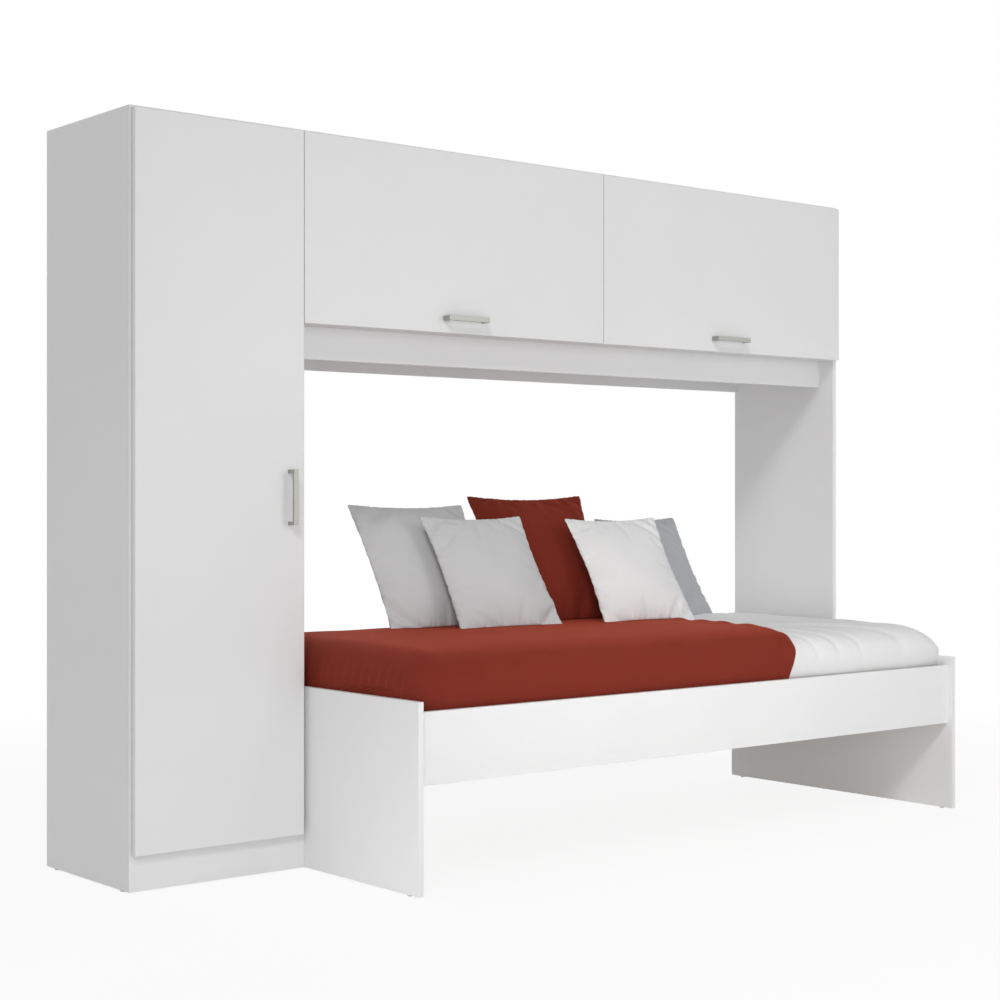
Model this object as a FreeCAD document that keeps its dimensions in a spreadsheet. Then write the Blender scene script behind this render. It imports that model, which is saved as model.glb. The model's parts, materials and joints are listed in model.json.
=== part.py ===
import FreeCAD, Part
import math
import os
import re
import Sketcher
from types import SimpleNamespace

# Single bed standing in a bay between a wardrobe and a support panel, under a cupboard with two
# lift-up flaps.
# Millimetres. +X runs along the bed from the wardrobe to the support panel, +Y to the wall, +Z up.
# The origin is on the floor under the middle of the whole unit.

Vector = FreeCAD.Vector
RIGHT, BACK, UP = Vector(1, 0, 0), Vector(0, 1, 0), Vector(0, 0, 1)
LEFT, FRONT, DOWN = -RIGHT, -BACK, -UP

# Driving dimensions.
SIZES = {
    # whole unit
    "overall_length": 2626, "carcass_height": 1930, "carcass_depth": 444, "bed_projection": 495,
    "board": 16, "edge_round": 0.8, "overrun": 2, "fit": 0.1,
    "glide_height": 4, "glide_radius": 7, "glide_inset": 45, "glide_bevel": 1.5,
    # wardrobe
    "wardrobe_width": 513, "plinth_height": 88, "back_thickness": 3, "back_inset": 10, "groove_depth": 5,
    "hat_shelf_height": 1560, "hat_shelf_setback": 25, "shelf_play": 0.5,
    "shelf_pin_radius": 2.5, "shelf_pin_depth": 9, "shelf_pin_reach": 8, "shelf_pin_inset": 50,
    "hanging_rail_radius": 12.5, "hanging_rail_wall": 1.2, "hanging_rail_drop": 60,
    "socket_radius": 17, "socket_depth": 16, "socket_base": 4,
    # door and flaps
    "door_reveal": 7, "front_gap": 2.5, "partition_cover": 2.5, "door_standoff": 3, "door_bottom_height": 90,
    "handle_length": 144, "handle_post": 9, "handle_bar": 7, "handle_width": 14, "handle_projection": 29.5,
    "door_handle_inset": 43, "flap_handle_inset": 40, "door_handle_height": 968, "handle_round": 0.9,
    "screw_radius": 2, "screw_head_radius": 4, "screw_head": 2.4, "screw_grip": 11,
    # bridge over the bed
    "bridge_height": 507, "valance_height": 87, "valance_setback": 60,
    # concealed hinges
    "cup_edge": 5, "cup_radius": 17.5, "cup_depth": 11.5, "cup_wall": 0.8,
    "flange_radius": 20, "flange_thickness": 0.8,
    "cup_pivot_shift": 7.5, "cup_pivot_depth": 5, "pivot_radius": 1.5, "pivot_play": 0.1, "elbow_play": 0.3,
    "arm_rise": 8, "arm_reach": 12, "arm_half": 4.5, "arm_length": 48, "arm_cheek": 7, "arm_slot_depth": 14,
    "plate_thickness": 3.5, "plate_front": 28, "plate_length": 36, "plate_half_width": 22,
    "link_half": 3, "inner_link_cheek": 2.8, "outer_link_cheek": 5, "link_gap": 0.35, "elbow_room": 10,
    "door_hinge_inset": 110, "flap_hinge_inset": 130,
    # gas struts
    "strut_reach": 178, "strut_ear_height": 12, "strut_drop": 20, "strut_offset": 13,
    "tube_radius": 7.5, "tube_wall": 1.1, "tube_length": 180, "gland_length": 4, "rod_radius": 3,
    "rod_length": 185, "piston_radius": 5.9, "piston_length": 6, "rod_play": 0.3,
    "eye_radius": 5.5, "eye_half_width": 4, "stud_radius": 2.5, "stud_play": 0.1,
    "bracket_thickness": 2.5, "bracket_length": 34, "bracket_width": 17, "ear_half": 8,
    # bed
    "bed_end_height": 472, "bed_rail_height": 180, "bed_rail_drop": 27, "bed_rail_recess": 15,
    "bearer_width": 20, "bearer_height": 35, "bearer_end_gap": 14, "slat_drop": 45,
    "slat_width": 70, "slat_thickness": 12, "slat_end_gap": 2, "slat_inset": 40, "slat_round": 3,
    # cam fittings
    "cam_radius": 7.5, "cam_depth": 12.5, "cam_back": 24, "cam_bolt_radius": 3, "cam_bolt_depth": 7,
    "cam_head_radius": 4, "cam_head": 5, "cam_neck_play": 0.4, "cam_spread": 140, "cam_shift": 40,
    "rail_cam_spread": 45,
    # mattress, duvet and bedspread
    "mattress_end_room": 32.5, "mattress_thickness": 155, "mattress_corner": 85, "mattress_round": 72,
    "soft_clearance": 0.3, "bed_clearance": 1.2, "skirt_tuck": 5, "skirt_tuck_in": 9, "belly_height": 90,
    "duvet_top": 14, "duvet_skirt": 3, "duvet_end": 17, "duvet_shoulder": 76, "duvet_crown": 6,
    "duvet_fold": 20, "duvet_right_roll": 120, "duvet_right_corner": 20,
    "spread_top": 14, "spread_skirt": 4, "spread_end": 8, "spread_shoulder": 86, "spread_crown": 9,
    "spread_length": 1376, "spread_roll": 14, "spread_edge": 3, "plan_corner": 60,
    # cushions
    "large_grey_width": 425, "large_grey_height": 421, "small_grey_width": 378, "small_grey_height": 371,
    "red_width": 445, "red_height": 439, "white_width": 370, "white_height": 365,
    "blue_grey_width": 370, "blue_grey_height": 365,
    "large_grey_lean_angle": 32.4, "large_grey_turn_angle": -1.8,
    "small_grey_lean_angle": 33, "small_grey_turn_angle": -2.7,
    "red_lean_angle": 28.4, "red_turn_angle": -4.8,
    "white_lean_angle": 32.1, "white_turn_angle": -3.1,
    "blue_grey_lean_angle": 30.5, "blue_grey_turn_angle": 0.8,
    "fullness_share": 0.25, "drawn_in_share": 0.06, "cushion_drop": 8,
}
COUNTS = {"door_hinges": 4, "flap_hinges": 2, "slats": 14, "top_arcs": 8, "seating_steps": 8}

# Places and sizes that follow from the driving dimensions.
PLACES = {
    "left_face": "-overall_length / 2",
    "right_face": "overall_length / 2",
    "back_plane": "(bed_projection + carcass_depth) / 2",
    "front_plane": "back_plane - carcass_depth",
    "bed_front": "front_plane - bed_projection",
    "top": "glide_height + carcass_height",
    "partition_right": "left_face + wardrobe_width",
    "partition_left": "partition_right - board",
    "inner_left": "left_face + board",
    "support_left": "right_face - board",
    "wardrobe_inside": "partition_left - inner_left",
    "bay_length": "support_left - partition_right",
    "shelf_depth": "carcass_depth - back_inset - back_thickness",
    "back_face": "front_plane + shelf_depth",
    "floor_bottom": "glide_height + plinth_height",
    "hat_shelf_bottom": "glide_height + hat_shelf_height",
    "bridge_underside": "top - bridge_height",
    "bridge_floor": "bridge_underside + board",
    "bridge_inside": "bridge_height - 2 * board",
    "valance_bottom": "bridge_underside - valance_height",
    "door_back": "front_plane - door_standoff",
    "door_front": "door_back - board",
    "door_left": "left_face + door_reveal",
    "door_right": "partition_left + partition_cover",
    "door_bottom": "glide_height + door_bottom_height",
    "front_top": "top - door_reveal",
    "flap_left": "door_right + front_gap",
    "flap_width": "(right_face - door_reveal - flap_left - front_gap) / 2",
    "flap_split": "flap_left + flap_width + front_gap / 2",
    "second_flap_left": "flap_split + front_gap / 2",
    "divider_left": "flap_split - board / 2",
    "axis_p": "door_reveal",
    "axis_q": "-door_standoff - board",
    "cup_p": "door_reveal + cup_edge + cup_radius",
    "pivot_a_p": "cup_p + cup_pivot_shift",
    "pivot_a_q": "-door_standoff - cup_pivot_depth",
    "pivot_c_p": "board + arm_rise",
    "pivot_c_q": "arm_reach",
    "pivot_e_p": "pivot_c_p + pivot_a_p - axis_p",
    "pivot_e_q": "pivot_c_q + pivot_a_q - axis_q",
    "stud_p_p": "axis_p + strut_reach",
    "stud_p_q": "-door_standoff + strut_ear_height",
    "strut_radius": "sqrt(strut_reach ^ 2 + (stud_p_q - axis_q) ^ 2)",
    "stud_q_p": "board + strut_drop",
    "stud_q_q": "axis_q + sqrt(strut_radius ^ 2 - (stud_q_p - axis_p) ^ 2)",
    "bed_left_inner": "partition_right + board",
    "bed_right_inner": "support_left - board",
    "bed_inside": "bed_right_inner - bed_left_inner",
    "bed_depth": "back_plane - bed_front",
    "rail_front": "bed_front + bed_rail_recess",
    "rail_back": "back_plane - board",
    "rail_top": "glide_height + bed_end_height - bed_rail_drop",
    "rail_bottom": "rail_top - bed_rail_height",
    "bed_inside_front": "rail_front + board",
    "bed_inside_width": "rail_back - bed_inside_front",
    "slat_top": "rail_top - slat_drop",
    "slat_bottom": "slat_top - slat_thickness",
    "skirts": "spread_skirt + duvet_skirt + 2 * soft_clearance + bed_clearance",
    "mattress_width": "bed_inside_width - 2 * skirts",
    "mattress_left": "bed_left_inner + mattress_end_room",
    "mattress_length": "bed_inside - 2 * mattress_end_room",
    "mattress_front": "bed_inside_front + skirts",
    "mattress_top": "slat_top + mattress_thickness",
}

doc = FreeCAD.newDocument("overbed_unit")
sheet = doc.addObject("Spreadsheet::Sheet", "Sizes")


def fill_sheet():
    """Writes the driving numbers and the formulas that follow from them, and gives back their values."""
    cells = {alias: str(number) for alias, number in SIZES.items()}
    cells.update({alias: "=" + formula for alias, formula in PLACES.items()})
    for row, (alias, text) in enumerate(cells.items(), 1):
        sheet.set(f"A{row}", alias)
        sheet.set(f"B{row}", text)
        sheet.setAlias(f"B{row}", alias)
    doc.recompute()
    return SimpleNamespace(**{alias: float(sheet.get(alias)) for alias in cells})


s = fill_sheet()
boards = {}
cutters = {}
nodes = {}


def bound(text):
    """An expression on the sheet: every plain word in the text is an alias."""
    return re.sub(r"\b[a-z_]+\b(?!\()", lambda word: "Sizes." + word.group(0), text)


def place(item, corner):
    for axis, text in zip("xyz", corner):
        item.setExpression(f"Placement.Base.{axis}", bound(text))
    return item


def block(label, size, corner=("0", "0", "0")):
    item = doc.addObject("Part::Box", label)
    for side, text in zip(("Length", "Width", "Height"), size):
        item.setExpression(side, bound(text))
    return place(item, corner)


TURNS = {"x": FreeCAD.Rotation(BACK, 90), "y": FreeCAD.Rotation(RIGHT, -90), "z": FreeCAD.Rotation()}


def rod(label, radius, length, start=("0", "0", "0"), along="z"):
    item = doc.addObject("Part::Cylinder", label)
    item.setExpression("Radius", bound(radius))
    item.setExpression("Height", bound(length))
    item.Placement.Rotation = TURNS[along]
    return place(item, start)


def joined(label, *pieces):
    item = doc.addObject("Part::MultiFuse", label)
    item.Shapes = list(pieces)
    return item


def minus(label, base, tool):
    item = doc.addObject("Part::Cut", label)
    item.Base = base
    item.Tool = tool
    return item


def rounded(label, base, radius, wanted=lambda edge: True):
    """A fillet along the wanted edges of a finished solid."""
    doc.recompute()
    item = doc.addObject("Part::Fillet", label)
    item.Base = base
    item.Edges = [(i, radius, radius) for i, edge in enumerate(base.Shape.Edges, 1) if wanted(edge)]
    return item


def board(label, size, corner):
    """A flat board with lightly rounded edges. Its bores and grooves are cut when all are known."""
    blank = block(label + "_blank", size, corner)
    boards[label] = rounded(label + "_edged", blank, s.edge_round)


def sheet_board(label, size, corner):
    boards[label] = block(label + "_blank", size, corner)


def cut_from(label, shape):
    cutters.setdefault(label, []).append(shape)


def finish_boards():
    for label, edged in boards.items():
        if label not in cutters:
            keep(label, edged)
            continue
        tools = doc.addObject("Part::Feature", label + "_cutters")
        tools.Shape = Part.makeCompound(cutters[label])
        before = edged.Shape.Volume
        item = minus(label + "_cut", edged, tools)
        doc.recompute()
        if not item.Shape.Volume < before:
            raise RuntimeError(label + ": nothing was cut")
        keep(label, item)


def keep(label, item):
    item.Label = label
    nodes[label] = item


def origin_plane(body, role):
    return next(plane for plane in body.Origin.OriginFeatures if plane.Role == role)


def outline_sketch(body, role, points):
    """A closed outline of straight lines whose corners, all at 0 or above, are bound to the sheet."""
    sketch = body.newObject("Sketcher::SketchObject", body.Name + "_outline")
    sketch.AttachmentSupport = [(origin_plane(body, role), "")]
    sketch.MapMode = "FlatFace"
    corners = [Vector(*(float(value_of(text)) for text in point), 0) for point in points]
    count = len(points)
    for i in range(count):
        sketch.addGeometry(Part.LineSegment(corners[i], corners[(i + 1) % count]))
    for i in range(count):
        sketch.addConstraint(Sketcher.Constraint("Coincident", i, 2, (i + 1) % count, 1))
    for i, point in enumerate(points):
        for kind, axis, text in zip(("DistanceX", "DistanceY"), (-2, -1), point):
            if text == "0":
                sketch.addConstraint(Sketcher.Constraint("PointOnObject", i, 1, axis))
            else:
                number = sketch.addConstraint(Sketcher.Constraint(kind, -1, 1, i, 1, value_of(text)))
                sketch.setExpression(f"Constraints[{number}]", bound(text))
    return sketch


def value_of(text):
    """The present value of an expression on the sheet."""
    probe.setExpression("Length", bound(text))
    doc.recompute([probe])
    return probe.Length.Value


probe = doc.addObject("Part::Box", "probe")


def padded(label, role, points, length):
    body = doc.addObject("PartDesign::Body", label)
    sketch = outline_sketch(body, role, points)
    pad = body.newObject("PartDesign::Pad", label + "_pad")
    pad.Profile = sketch
    pad.setExpression("Length", bound(length))
    doc.recompute()
    return body


def lathed(label, points):
    """A solid of revolution about Z. Each point is a radius and a height."""
    body = doc.addObject("PartDesign::Body", label)
    sketch = outline_sketch(body, "XZ_Plane", points)
    turn = body.newObject("PartDesign::Revolution", label + "_turn")
    turn.Profile = sketch
    turn.ReferenceAxis = (sketch, ["V_Axis"])
    turn.Angle = 360
    doc.recompute()
    return body


def soften(body, radius):
    solid = body.Tip
    fillet = body.newObject("PartDesign::Fillet", body.Name + "_round")
    fillet.Base = (solid, [""])
    fillet.UseAllEdges = True
    fillet.setExpression("Radius", bound(radius))
    body.Tip = fillet
    doc.recompute()
    return body


def frame(origin, x_axis, y_axis):
    """A placement that takes X and Y of a piece's own frame to the given directions."""
    z_axis = x_axis.cross(y_axis)
    rows = zip(x_axis, y_axis, z_axis, origin)
    return FreeCAD.Placement(FreeCAD.Matrix(*(n for row in rows for n in row), 0, 0, 0, 1))


def moved(master, placement):
    shape = master.Shape.copy()
    shape.Placement = placement.multiply(shape.Placement)
    return shape


def copies(label, *placed):
    """A node of separate solids: each pair is a master piece and where it goes."""
    item = doc.addObject("Part::Feature", label)
    shapes = [solid for master, where in placed for solid in moved(master, where).Solids]
    item.Shape = shapes[0] if len(shapes) == 1 else Part.makeCompound(shapes)
    keep(label, item)


def spread(start, end, count):
    return [start + (end - start) * i / (count - 1) for i in range(count)]


# Wardrobe: two sides, top, floor, plinth, back in grooves, hat shelf and hanging rail.

def wardrobe():
    side = ("board", "carcass_depth", "carcass_height")
    board("wardrobe_left_side", side, ("left_face", "front_plane", "glide_height"))
    board("wardrobe_right_side", side, ("partition_left", "front_plane", "glide_height"))
    deck = ("wardrobe_inside", "shelf_depth", "board")
    board("wardrobe_top", deck, ("inner_left", "front_plane", "top - board"))
    board("wardrobe_floor", deck, ("inner_left", "front_plane", "floor_bottom"))
    board("wardrobe_plinth", ("wardrobe_inside", "board", "plinth_height"),
          ("inner_left", "front_plane", "glide_height"))
    board("hat_shelf", ("wardrobe_inside - 2 * shelf_play", "shelf_depth - hat_shelf_setback", "board"),
          ("inner_left + shelf_play", "front_plane + hat_shelf_setback", "hat_shelf_bottom"))
    sheet_board("wardrobe_back",
                ("wardrobe_inside + 2 * groove_depth - 2 * fit", "back_thickness",
                 "carcass_height - plinth_height"),
                ("inner_left - groove_depth + fit", "back_face", "floor_bottom"))
    for label, x in (("wardrobe_left_side", "inner_left - groove_depth"),
                     ("wardrobe_right_side", "partition_left - overrun")):
        back_groove(label, x, "floor_bottom", "carcass_height")
    shelf_pins()
    hanging_rail()


def back_groove(label, x, bottom, height):
    """The slot in an upright board that takes the edge of a thin back panel."""
    tool = block(label + "_groove", ("groove_depth + overrun", "back_thickness + 2 * fit", height),
                 (x, "back_face - fit", bottom + " - fit"))
    doc.recompute()
    cut_from(label, tool.Shape.copy())


def shelf_pins():
    pin = rod("shelf_pin", "shelf_pin_radius", "shelf_pin_depth + shelf_pin_reach", along="x")
    hole = rod("shelf_pin_hole", "shelf_pin_radius + fit", "shelf_pin_depth + fit + overrun", along="x")
    doc.recompute()
    placed = []
    height = s.hat_shelf_bottom - s.shelf_pin_radius
    front = s.front_plane + s.hat_shelf_setback + s.shelf_pin_inset
    for y in (front, s.back_face - s.shelf_pin_inset):
        for label, x, inward in (("wardrobe_left_side", s.inner_left, 1),
                                 ("wardrobe_right_side", s.partition_left, -1)):
            root = Vector(x - inward * s.shelf_pin_depth, y, height)
            placed.append((pin, frame(root, RIGHT * inward, BACK)))
            deep = root - RIGHT * inward * s.fit
            cut_from(label, moved(hole, frame(deep, RIGHT * inward, BACK)))
    copies("shelf_pins", *placed)


def hanging_rail():
    length = "wardrobe_inside - 2 * socket_base"
    x = "inner_left + socket_base"
    y = "front_plane + shelf_depth / 2"
    z = "hat_shelf_bottom - hanging_rail_drop"
    outside = rod("rail_outside", "hanging_rail_radius", length, (x, y, z), "x")
    inside = rod("rail_inside", "hanging_rail_radius - hanging_rail_wall", length + " + 2 * overrun",
                 (x + " - overrun", y, z), "x")
    keep("hanging_rail", minus("hanging_rail_tube", outside, inside))
    bore = "hanging_rail_radius + fit"
    socket = lathed("rail_socket", [("0", "0"), ("socket_radius", "0"), ("socket_radius", "socket_depth"),
                                    (bore, "socket_depth"), (bore, "socket_base"), ("0", "socket_base")])
    middle = Vector(0, value_of("front_plane + shelf_depth / 2"), value_of(z))
    copies("rail_sockets", (socket, frame(middle + RIGHT * s.inner_left, BACK, UP)),
           (socket, frame(middle + RIGHT * s.partition_left, UP, BACK)))


# Bridge: support panel, top, bottom, divider, back, valance and back rail.

def bridge():
    board("right_support_panel", ("board", "carcass_depth", "carcass_height"),
          ("support_left", "front_plane", "glide_height"))
    deck = ("bay_length", "shelf_depth", "board")
    board("bridge_top", deck, ("partition_right", "front_plane", "top - board"))
    board("bridge_bottom", ("bay_length", "carcass_depth", "board"),
          ("partition_right", "front_plane", "bridge_underside"))
    board("bridge_divider", ("board", "shelf_depth", "bridge_inside"),
          ("divider_left", "front_plane", "bridge_floor"))
    sheet_board("bridge_back",
                ("bay_length + 2 * groove_depth - 2 * fit", "back_thickness", "bridge_height - board"),
                ("partition_right - groove_depth + fit", "back_face", "bridge_floor"))
    back_groove("wardrobe_right_side", "partition_right - groove_depth", "bridge_floor", "bridge_height")
    back_groove("right_support_panel", "support_left - overrun", "bridge_floor", "bridge_height")
    strip = ("bay_length", "board", "valance_height")
    board("bridge_valance", strip, ("partition_right", "front_plane + valance_setback", "valance_bottom"))
    board("bridge_back_rail", strip, ("partition_right", "back_plane - board", "valance_bottom"))


# Bed: two end panels, two rails, bearers and slats.

def bed():
    end = ("board", "bed_depth", "bed_end_height")
    board("bed_left_end", end, ("partition_right", "bed_front", "glide_height"))
    board("bed_right_end", end, ("bed_right_inner", "bed_front", "glide_height"))
    rail = ("bed_inside", "board", "bed_rail_height")
    board("bed_front_rail", rail, ("bed_left_inner", "rail_front", "rail_bottom"))
    board("bed_back_rail", rail, ("bed_left_inner", "rail_back", "rail_bottom"))
    bearer = block("slat_bearer", ("bed_inside - 2 * bearer_end_gap", "bearer_width", "bearer_height"))
    doc.recompute()
    start = Vector(s.bed_left_inner + s.bearer_end_gap, s.bed_inside_front, s.slat_bottom - s.bearer_height)
    far = start + BACK * (s.bed_inside_width - s.bearer_width)
    copies("slat_bearers", (bearer, frame(start, RIGHT, BACK)), (bearer, frame(far, RIGHT, BACK)))
    slat = padded("slat", "XY_Plane",
                  [("0", "0"), ("slat_width", "0"), ("slat_width", "bed_inside_width - 2 * slat_end_gap"),
                   ("0", "bed_inside_width - 2 * slat_end_gap")], "slat_thickness")
    soften(slat, "slat_round")
    first = s.bed_left_inner + s.slat_inset
    last = s.bed_right_inner - s.slat_inset - s.slat_width
    front = s.bed_inside_front + s.slat_end_gap
    copies("slats", *((slat, frame(Vector(x, front, s.slat_bottom), RIGHT, BACK))
                      for x in spread(first, last, COUNTS["slats"])))


def floor_glides():
    glide = lathed("glide", [("0", "0"), ("glide_radius - glide_bevel", "0"),
                             ("glide_radius", "glide_bevel"),
                             ("glide_radius", "glide_height"), ("0", "glide_height")])
    uprights = [(s.left_face, s.front_plane), (s.partition_left, s.front_plane),
                (s.support_left, s.front_plane),
                (s.partition_right, s.bed_front), (s.bed_right_inner, s.bed_front)]
    spots = [Vector(x + s.board / 2, y, 0) for x, front in uprights
             for y in (front + s.glide_inset, s.back_plane - s.glide_inset)]
    copies("floor_glides", *((glide, frame(spot, RIGHT, BACK)) for spot in spots))


# Cam fittings: a bolt in the face of one board and a round housing in the board that butts against it.

def cam_fittings():
    shank = rod("cam_shank", "cam_bolt_radius", "cam_bolt_depth + cam_back - cam_head / 2",
                ("-cam_back + cam_head / 2", "0", "0"), "x")
    head = rod("cam_bolt_head", "cam_head_radius", "cam_head", ("-cam_back - cam_head / 2", "0", "0"), "x")
    bolt = joined("cam_bolt", shank, head)
    drum = rod("cam_drum", "cam_radius", "cam_depth", ("-cam_back", "0", "board / 2 - cam_depth"))
    way = rod("cam_way", "cam_head_radius + cam_neck_play", "cam_radius + cam_head",
              ("-cam_back - cam_head", "0", "0"),
              "x")
    housing = minus("cam_housing", drum, way)
    face_hole = rod("cam_face_hole", "cam_bolt_radius + fit", "cam_bolt_depth + fit + overrun",
                    ("-overrun", "0", "0"), "x")
    drum_hole = rod("cam_drum_hole", "cam_radius + fit", "cam_depth + fit + overrun",
                    ("-cam_back", "0", "board / 2 - cam_depth - fit"))
    end_hole = rod("cam_end_hole", "cam_head_radius + cam_neck_play", "cam_back + cam_head + overrun",
                   ("-cam_back - cam_head", "0", "0"), "x")
    rail_hole = joined("cam_rail_hole", drum_hole, end_hole)
    doc.recompute()
    placed = []
    for rail, panel, point, outward, side in cam_joints():
        where = frame(point, outward, side.cross(outward))
        placed += [(bolt, where), (housing, where)]
        cut_from(panel, moved(face_hole, where))
        cut_from(rail, moved(rail_hole, where))
    copies("cam_fittings", *placed)


def cam_joints():
    """Each joint: the butting board, the board it meets, its middle, the way in and the housing's face."""
    half = s.board / 2
    middle = s.front_plane + s.shelf_depth / 2
    wide = (middle - s.cam_spread, middle + s.cam_spread)
    close = (middle - s.cam_spread + s.cam_shift, middle + s.cam_spread - s.cam_shift)
    joints = []
    for y in wide:
        for label, z, face in (("wardrobe_top", s.top - half, DOWN),
                               ("wardrobe_floor", s.floor_bottom + half, DOWN)):
            joints.append((label, "wardrobe_left_side", Vector(s.inner_left, y, z), LEFT, face))
            joints.append((label, "wardrobe_right_side", Vector(s.partition_left, y, z), RIGHT, face))
    for y in close:
        for label, z, face in (("bridge_top", s.top - half, DOWN),
                               ("bridge_bottom", s.bridge_underside + half, UP)):
            joints.append((label, "wardrobe_right_side", Vector(s.partition_right, y, z), LEFT, face))
            joints.append((label, "right_support_panel", Vector(s.support_left, y, z), RIGHT, face))
        joints.append(("bridge_divider", "bridge_top", Vector(s.flap_split, y, s.top - s.board), UP, LEFT))
        foot = Vector(s.flap_split, y, s.bridge_floor)
        joints.append(("bridge_divider", "bridge_bottom", foot, DOWN, LEFT))
    strip_height = s.valance_bottom + s.valance_height / 2
    valance_middle = s.front_plane + s.valance_setback + half
    for label, y in (("bridge_valance", valance_middle), ("bridge_back_rail", s.back_plane - half)):
        joints.append((label, "wardrobe_right_side", Vector(s.partition_right, y, strip_height), LEFT, BACK))
        joints.append((label, "right_support_panel", Vector(s.support_left, y, strip_height), RIGHT, BACK))
    plinth_point = Vector(0, s.front_plane + half, s.glide_height + s.plinth_height / 2)
    joints.append(("wardrobe_plinth", "wardrobe_left_side", plinth_point + RIGHT * s.inner_left, LEFT, BACK))
    far_point = plinth_point + RIGHT * s.partition_left
    joints.append(("wardrobe_plinth", "wardrobe_right_side", far_point, RIGHT, BACK))
    rail_middle = (s.rail_top + s.rail_bottom) / 2
    for z in (rail_middle - s.rail_cam_spread, rail_middle + s.rail_cam_spread):
        for label, y, face in (("bed_front_rail", s.rail_front + half, BACK),
                               ("bed_back_rail", s.rail_back + half, FRONT)):
            joints.append((label, "bed_left_end", Vector(s.bed_left_inner, y, z), LEFT, face))
            joints.append((label, "bed_right_end", Vector(s.bed_right_inner, y, z), RIGHT, face))
    return joints


# Concealed hinge, in its own frame: X from the carcass's outer face across the front, Y into the carcass
# from its front edge, Z along the hinge axis. The door turns about its outer front corner.

def hinge_masters():
    plate = block("hinge_plate", ("plate_thickness", "plate_length", "2 * plate_half_width"),
                  ("board", "plate_front", "-plate_half_width"))
    beam = block("hinge_beam", ("arm_rise + arm_half - plate_thickness / 2", "arm_length", "2 * arm_cheek"),
                 ("board + plate_thickness / 2", "arm_reach - arm_half", "-arm_cheek"))
    foot_cut = block("hinge_foot_cut",
                     ("arm_rise", "plate_front - arm_reach + arm_half", "2 * arm_cheek + 2 * overrun"),
                     ("board + plate_thickness - arm_rise", "arm_reach - arm_half", "-arm_cheek - overrun"))
    slot = block("hinge_slot",
                 ("arm_rise + 2 * arm_half", "arm_slot_depth + overrun",
                  "2 * inner_link_cheek + 2 * link_gap"),
                 ("board", "arm_reach - arm_half - overrun", "-inner_link_cheek - link_gap"))
    pin_c = rod("hinge_pin_c", "pivot_radius", "2 * arm_cheek", ("pivot_c_p", "pivot_c_q", "-arm_cheek"))
    forked = minus("hinge_forked", minus("hinge_beam_cut", beam, foot_cut), slot)
    arm = joined("hinge_arm", forked, plate, pin_c)

    outside = joined("cup_outside",
                     rod("cup_wall_outside", "cup_radius", "cup_depth",
                         ("cup_p", "-door_standoff - cup_depth", "0"), "y"),
                     rod("cup_flange", "flange_radius", "flange_thickness",
                         ("cup_p", "-door_standoff", "0"), "y"))
    inside = rod("cup_inside", "cup_radius - cup_wall", "cup_depth + flange_thickness + overrun",
                 ("cup_p", "-door_standoff - cup_depth + cup_wall", "0"), "y")
    pin_a = rod("hinge_pin_a", "pivot_radius", "2 * (cup_radius - cup_wall - cup_edge / 2)",
                ("pivot_a_p", "pivot_a_q", "-cup_radius + cup_wall + cup_edge / 2"))
    cup = joined("hinge_cup", minus("cup_shell", outside, inside), pin_a)
    cup_hole = rod("cup_hole", "cup_radius + fit", "cup_depth + fit + overrun",
                   ("cup_p", "-door_standoff - cup_depth - fit", "0"), "y")

    inner = hinge_link("inner_link", "pivot_c", "pivot_e", "inner_link_cheek")
    inner_holes = joined("inner_link_holes", link_hole("inner_hole_c", "pivot_c", "pivot_play"),
                         link_hole("inner_hole_e", "pivot_e", "elbow_play"))
    inner_link = minus("hinge_inner_link", inner, inner_holes)

    outer = hinge_link("outer_link", "pivot_e", "pivot_a", "outer_link_cheek")
    room = joined("outer_link_room", *link_room())
    pin_e = rod("hinge_pin_e", "pivot_radius", "2 * outer_link_cheek",
                ("pivot_e_p", "pivot_e_q", "-outer_link_cheek"))
    outer_link = joined("hinge_outer_link", minus("outer_link_fork", outer, room), pin_e)
    doc.recompute()
    return SimpleNamespace(arm=arm, cup=cup, cup_hole=cup_hole, inner=inner_link, outer=outer_link)


def hinge_link(label, start, end, cheek):
    """A flat bar with round ends from one pivot to the other."""
    a = Vector(getattr(s, start + "_p"), getattr(s, start + "_q"), 0)
    b = Vector(getattr(s, end + "_p"), getattr(s, end + "_q"), 0)
    bar = doc.addObject("Part::Box", label + "_bar")
    bar.Length = (b - a).Length
    bar.setExpression("Width", bound("2 * link_half"))
    bar.setExpression("Height", bound(f"2 * {cheek}"))
    along = (b - a).normalize()
    across = UP.cross(along)
    bar.Placement = frame(a - across * s.link_half - UP * getattr(s, cheek), along, across)
    ends = [rod(label + "_" + pivot, "link_half", f"2 * {cheek}", (pivot + "_p", pivot + "_q", f"-{cheek}"))
            for pivot in (start, end)]
    return joined(label, bar, *ends)


def link_hole(label, pivot, play):
    return rod(label, "pivot_radius + " + play, "2 * outer_link_cheek + 2 * overrun",
               (pivot + "_p", pivot + "_q", "-outer_link_cheek - overrun"))


def link_room():
    """What the outer link's fork leaves open: the inner link's sweep round the elbow, and the cup pin."""
    sweep = rod("elbow_sweep", "elbow_room", "2 * inner_link_cheek + 2 * link_gap",
                ("pivot_e_p", "pivot_e_q", "-inner_link_cheek - link_gap"))
    return sweep, link_hole("outer_hole_a", "pivot_a", "pivot_play")


# Handle: a flat bar bent to a U, screwed on from behind the front.

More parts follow.
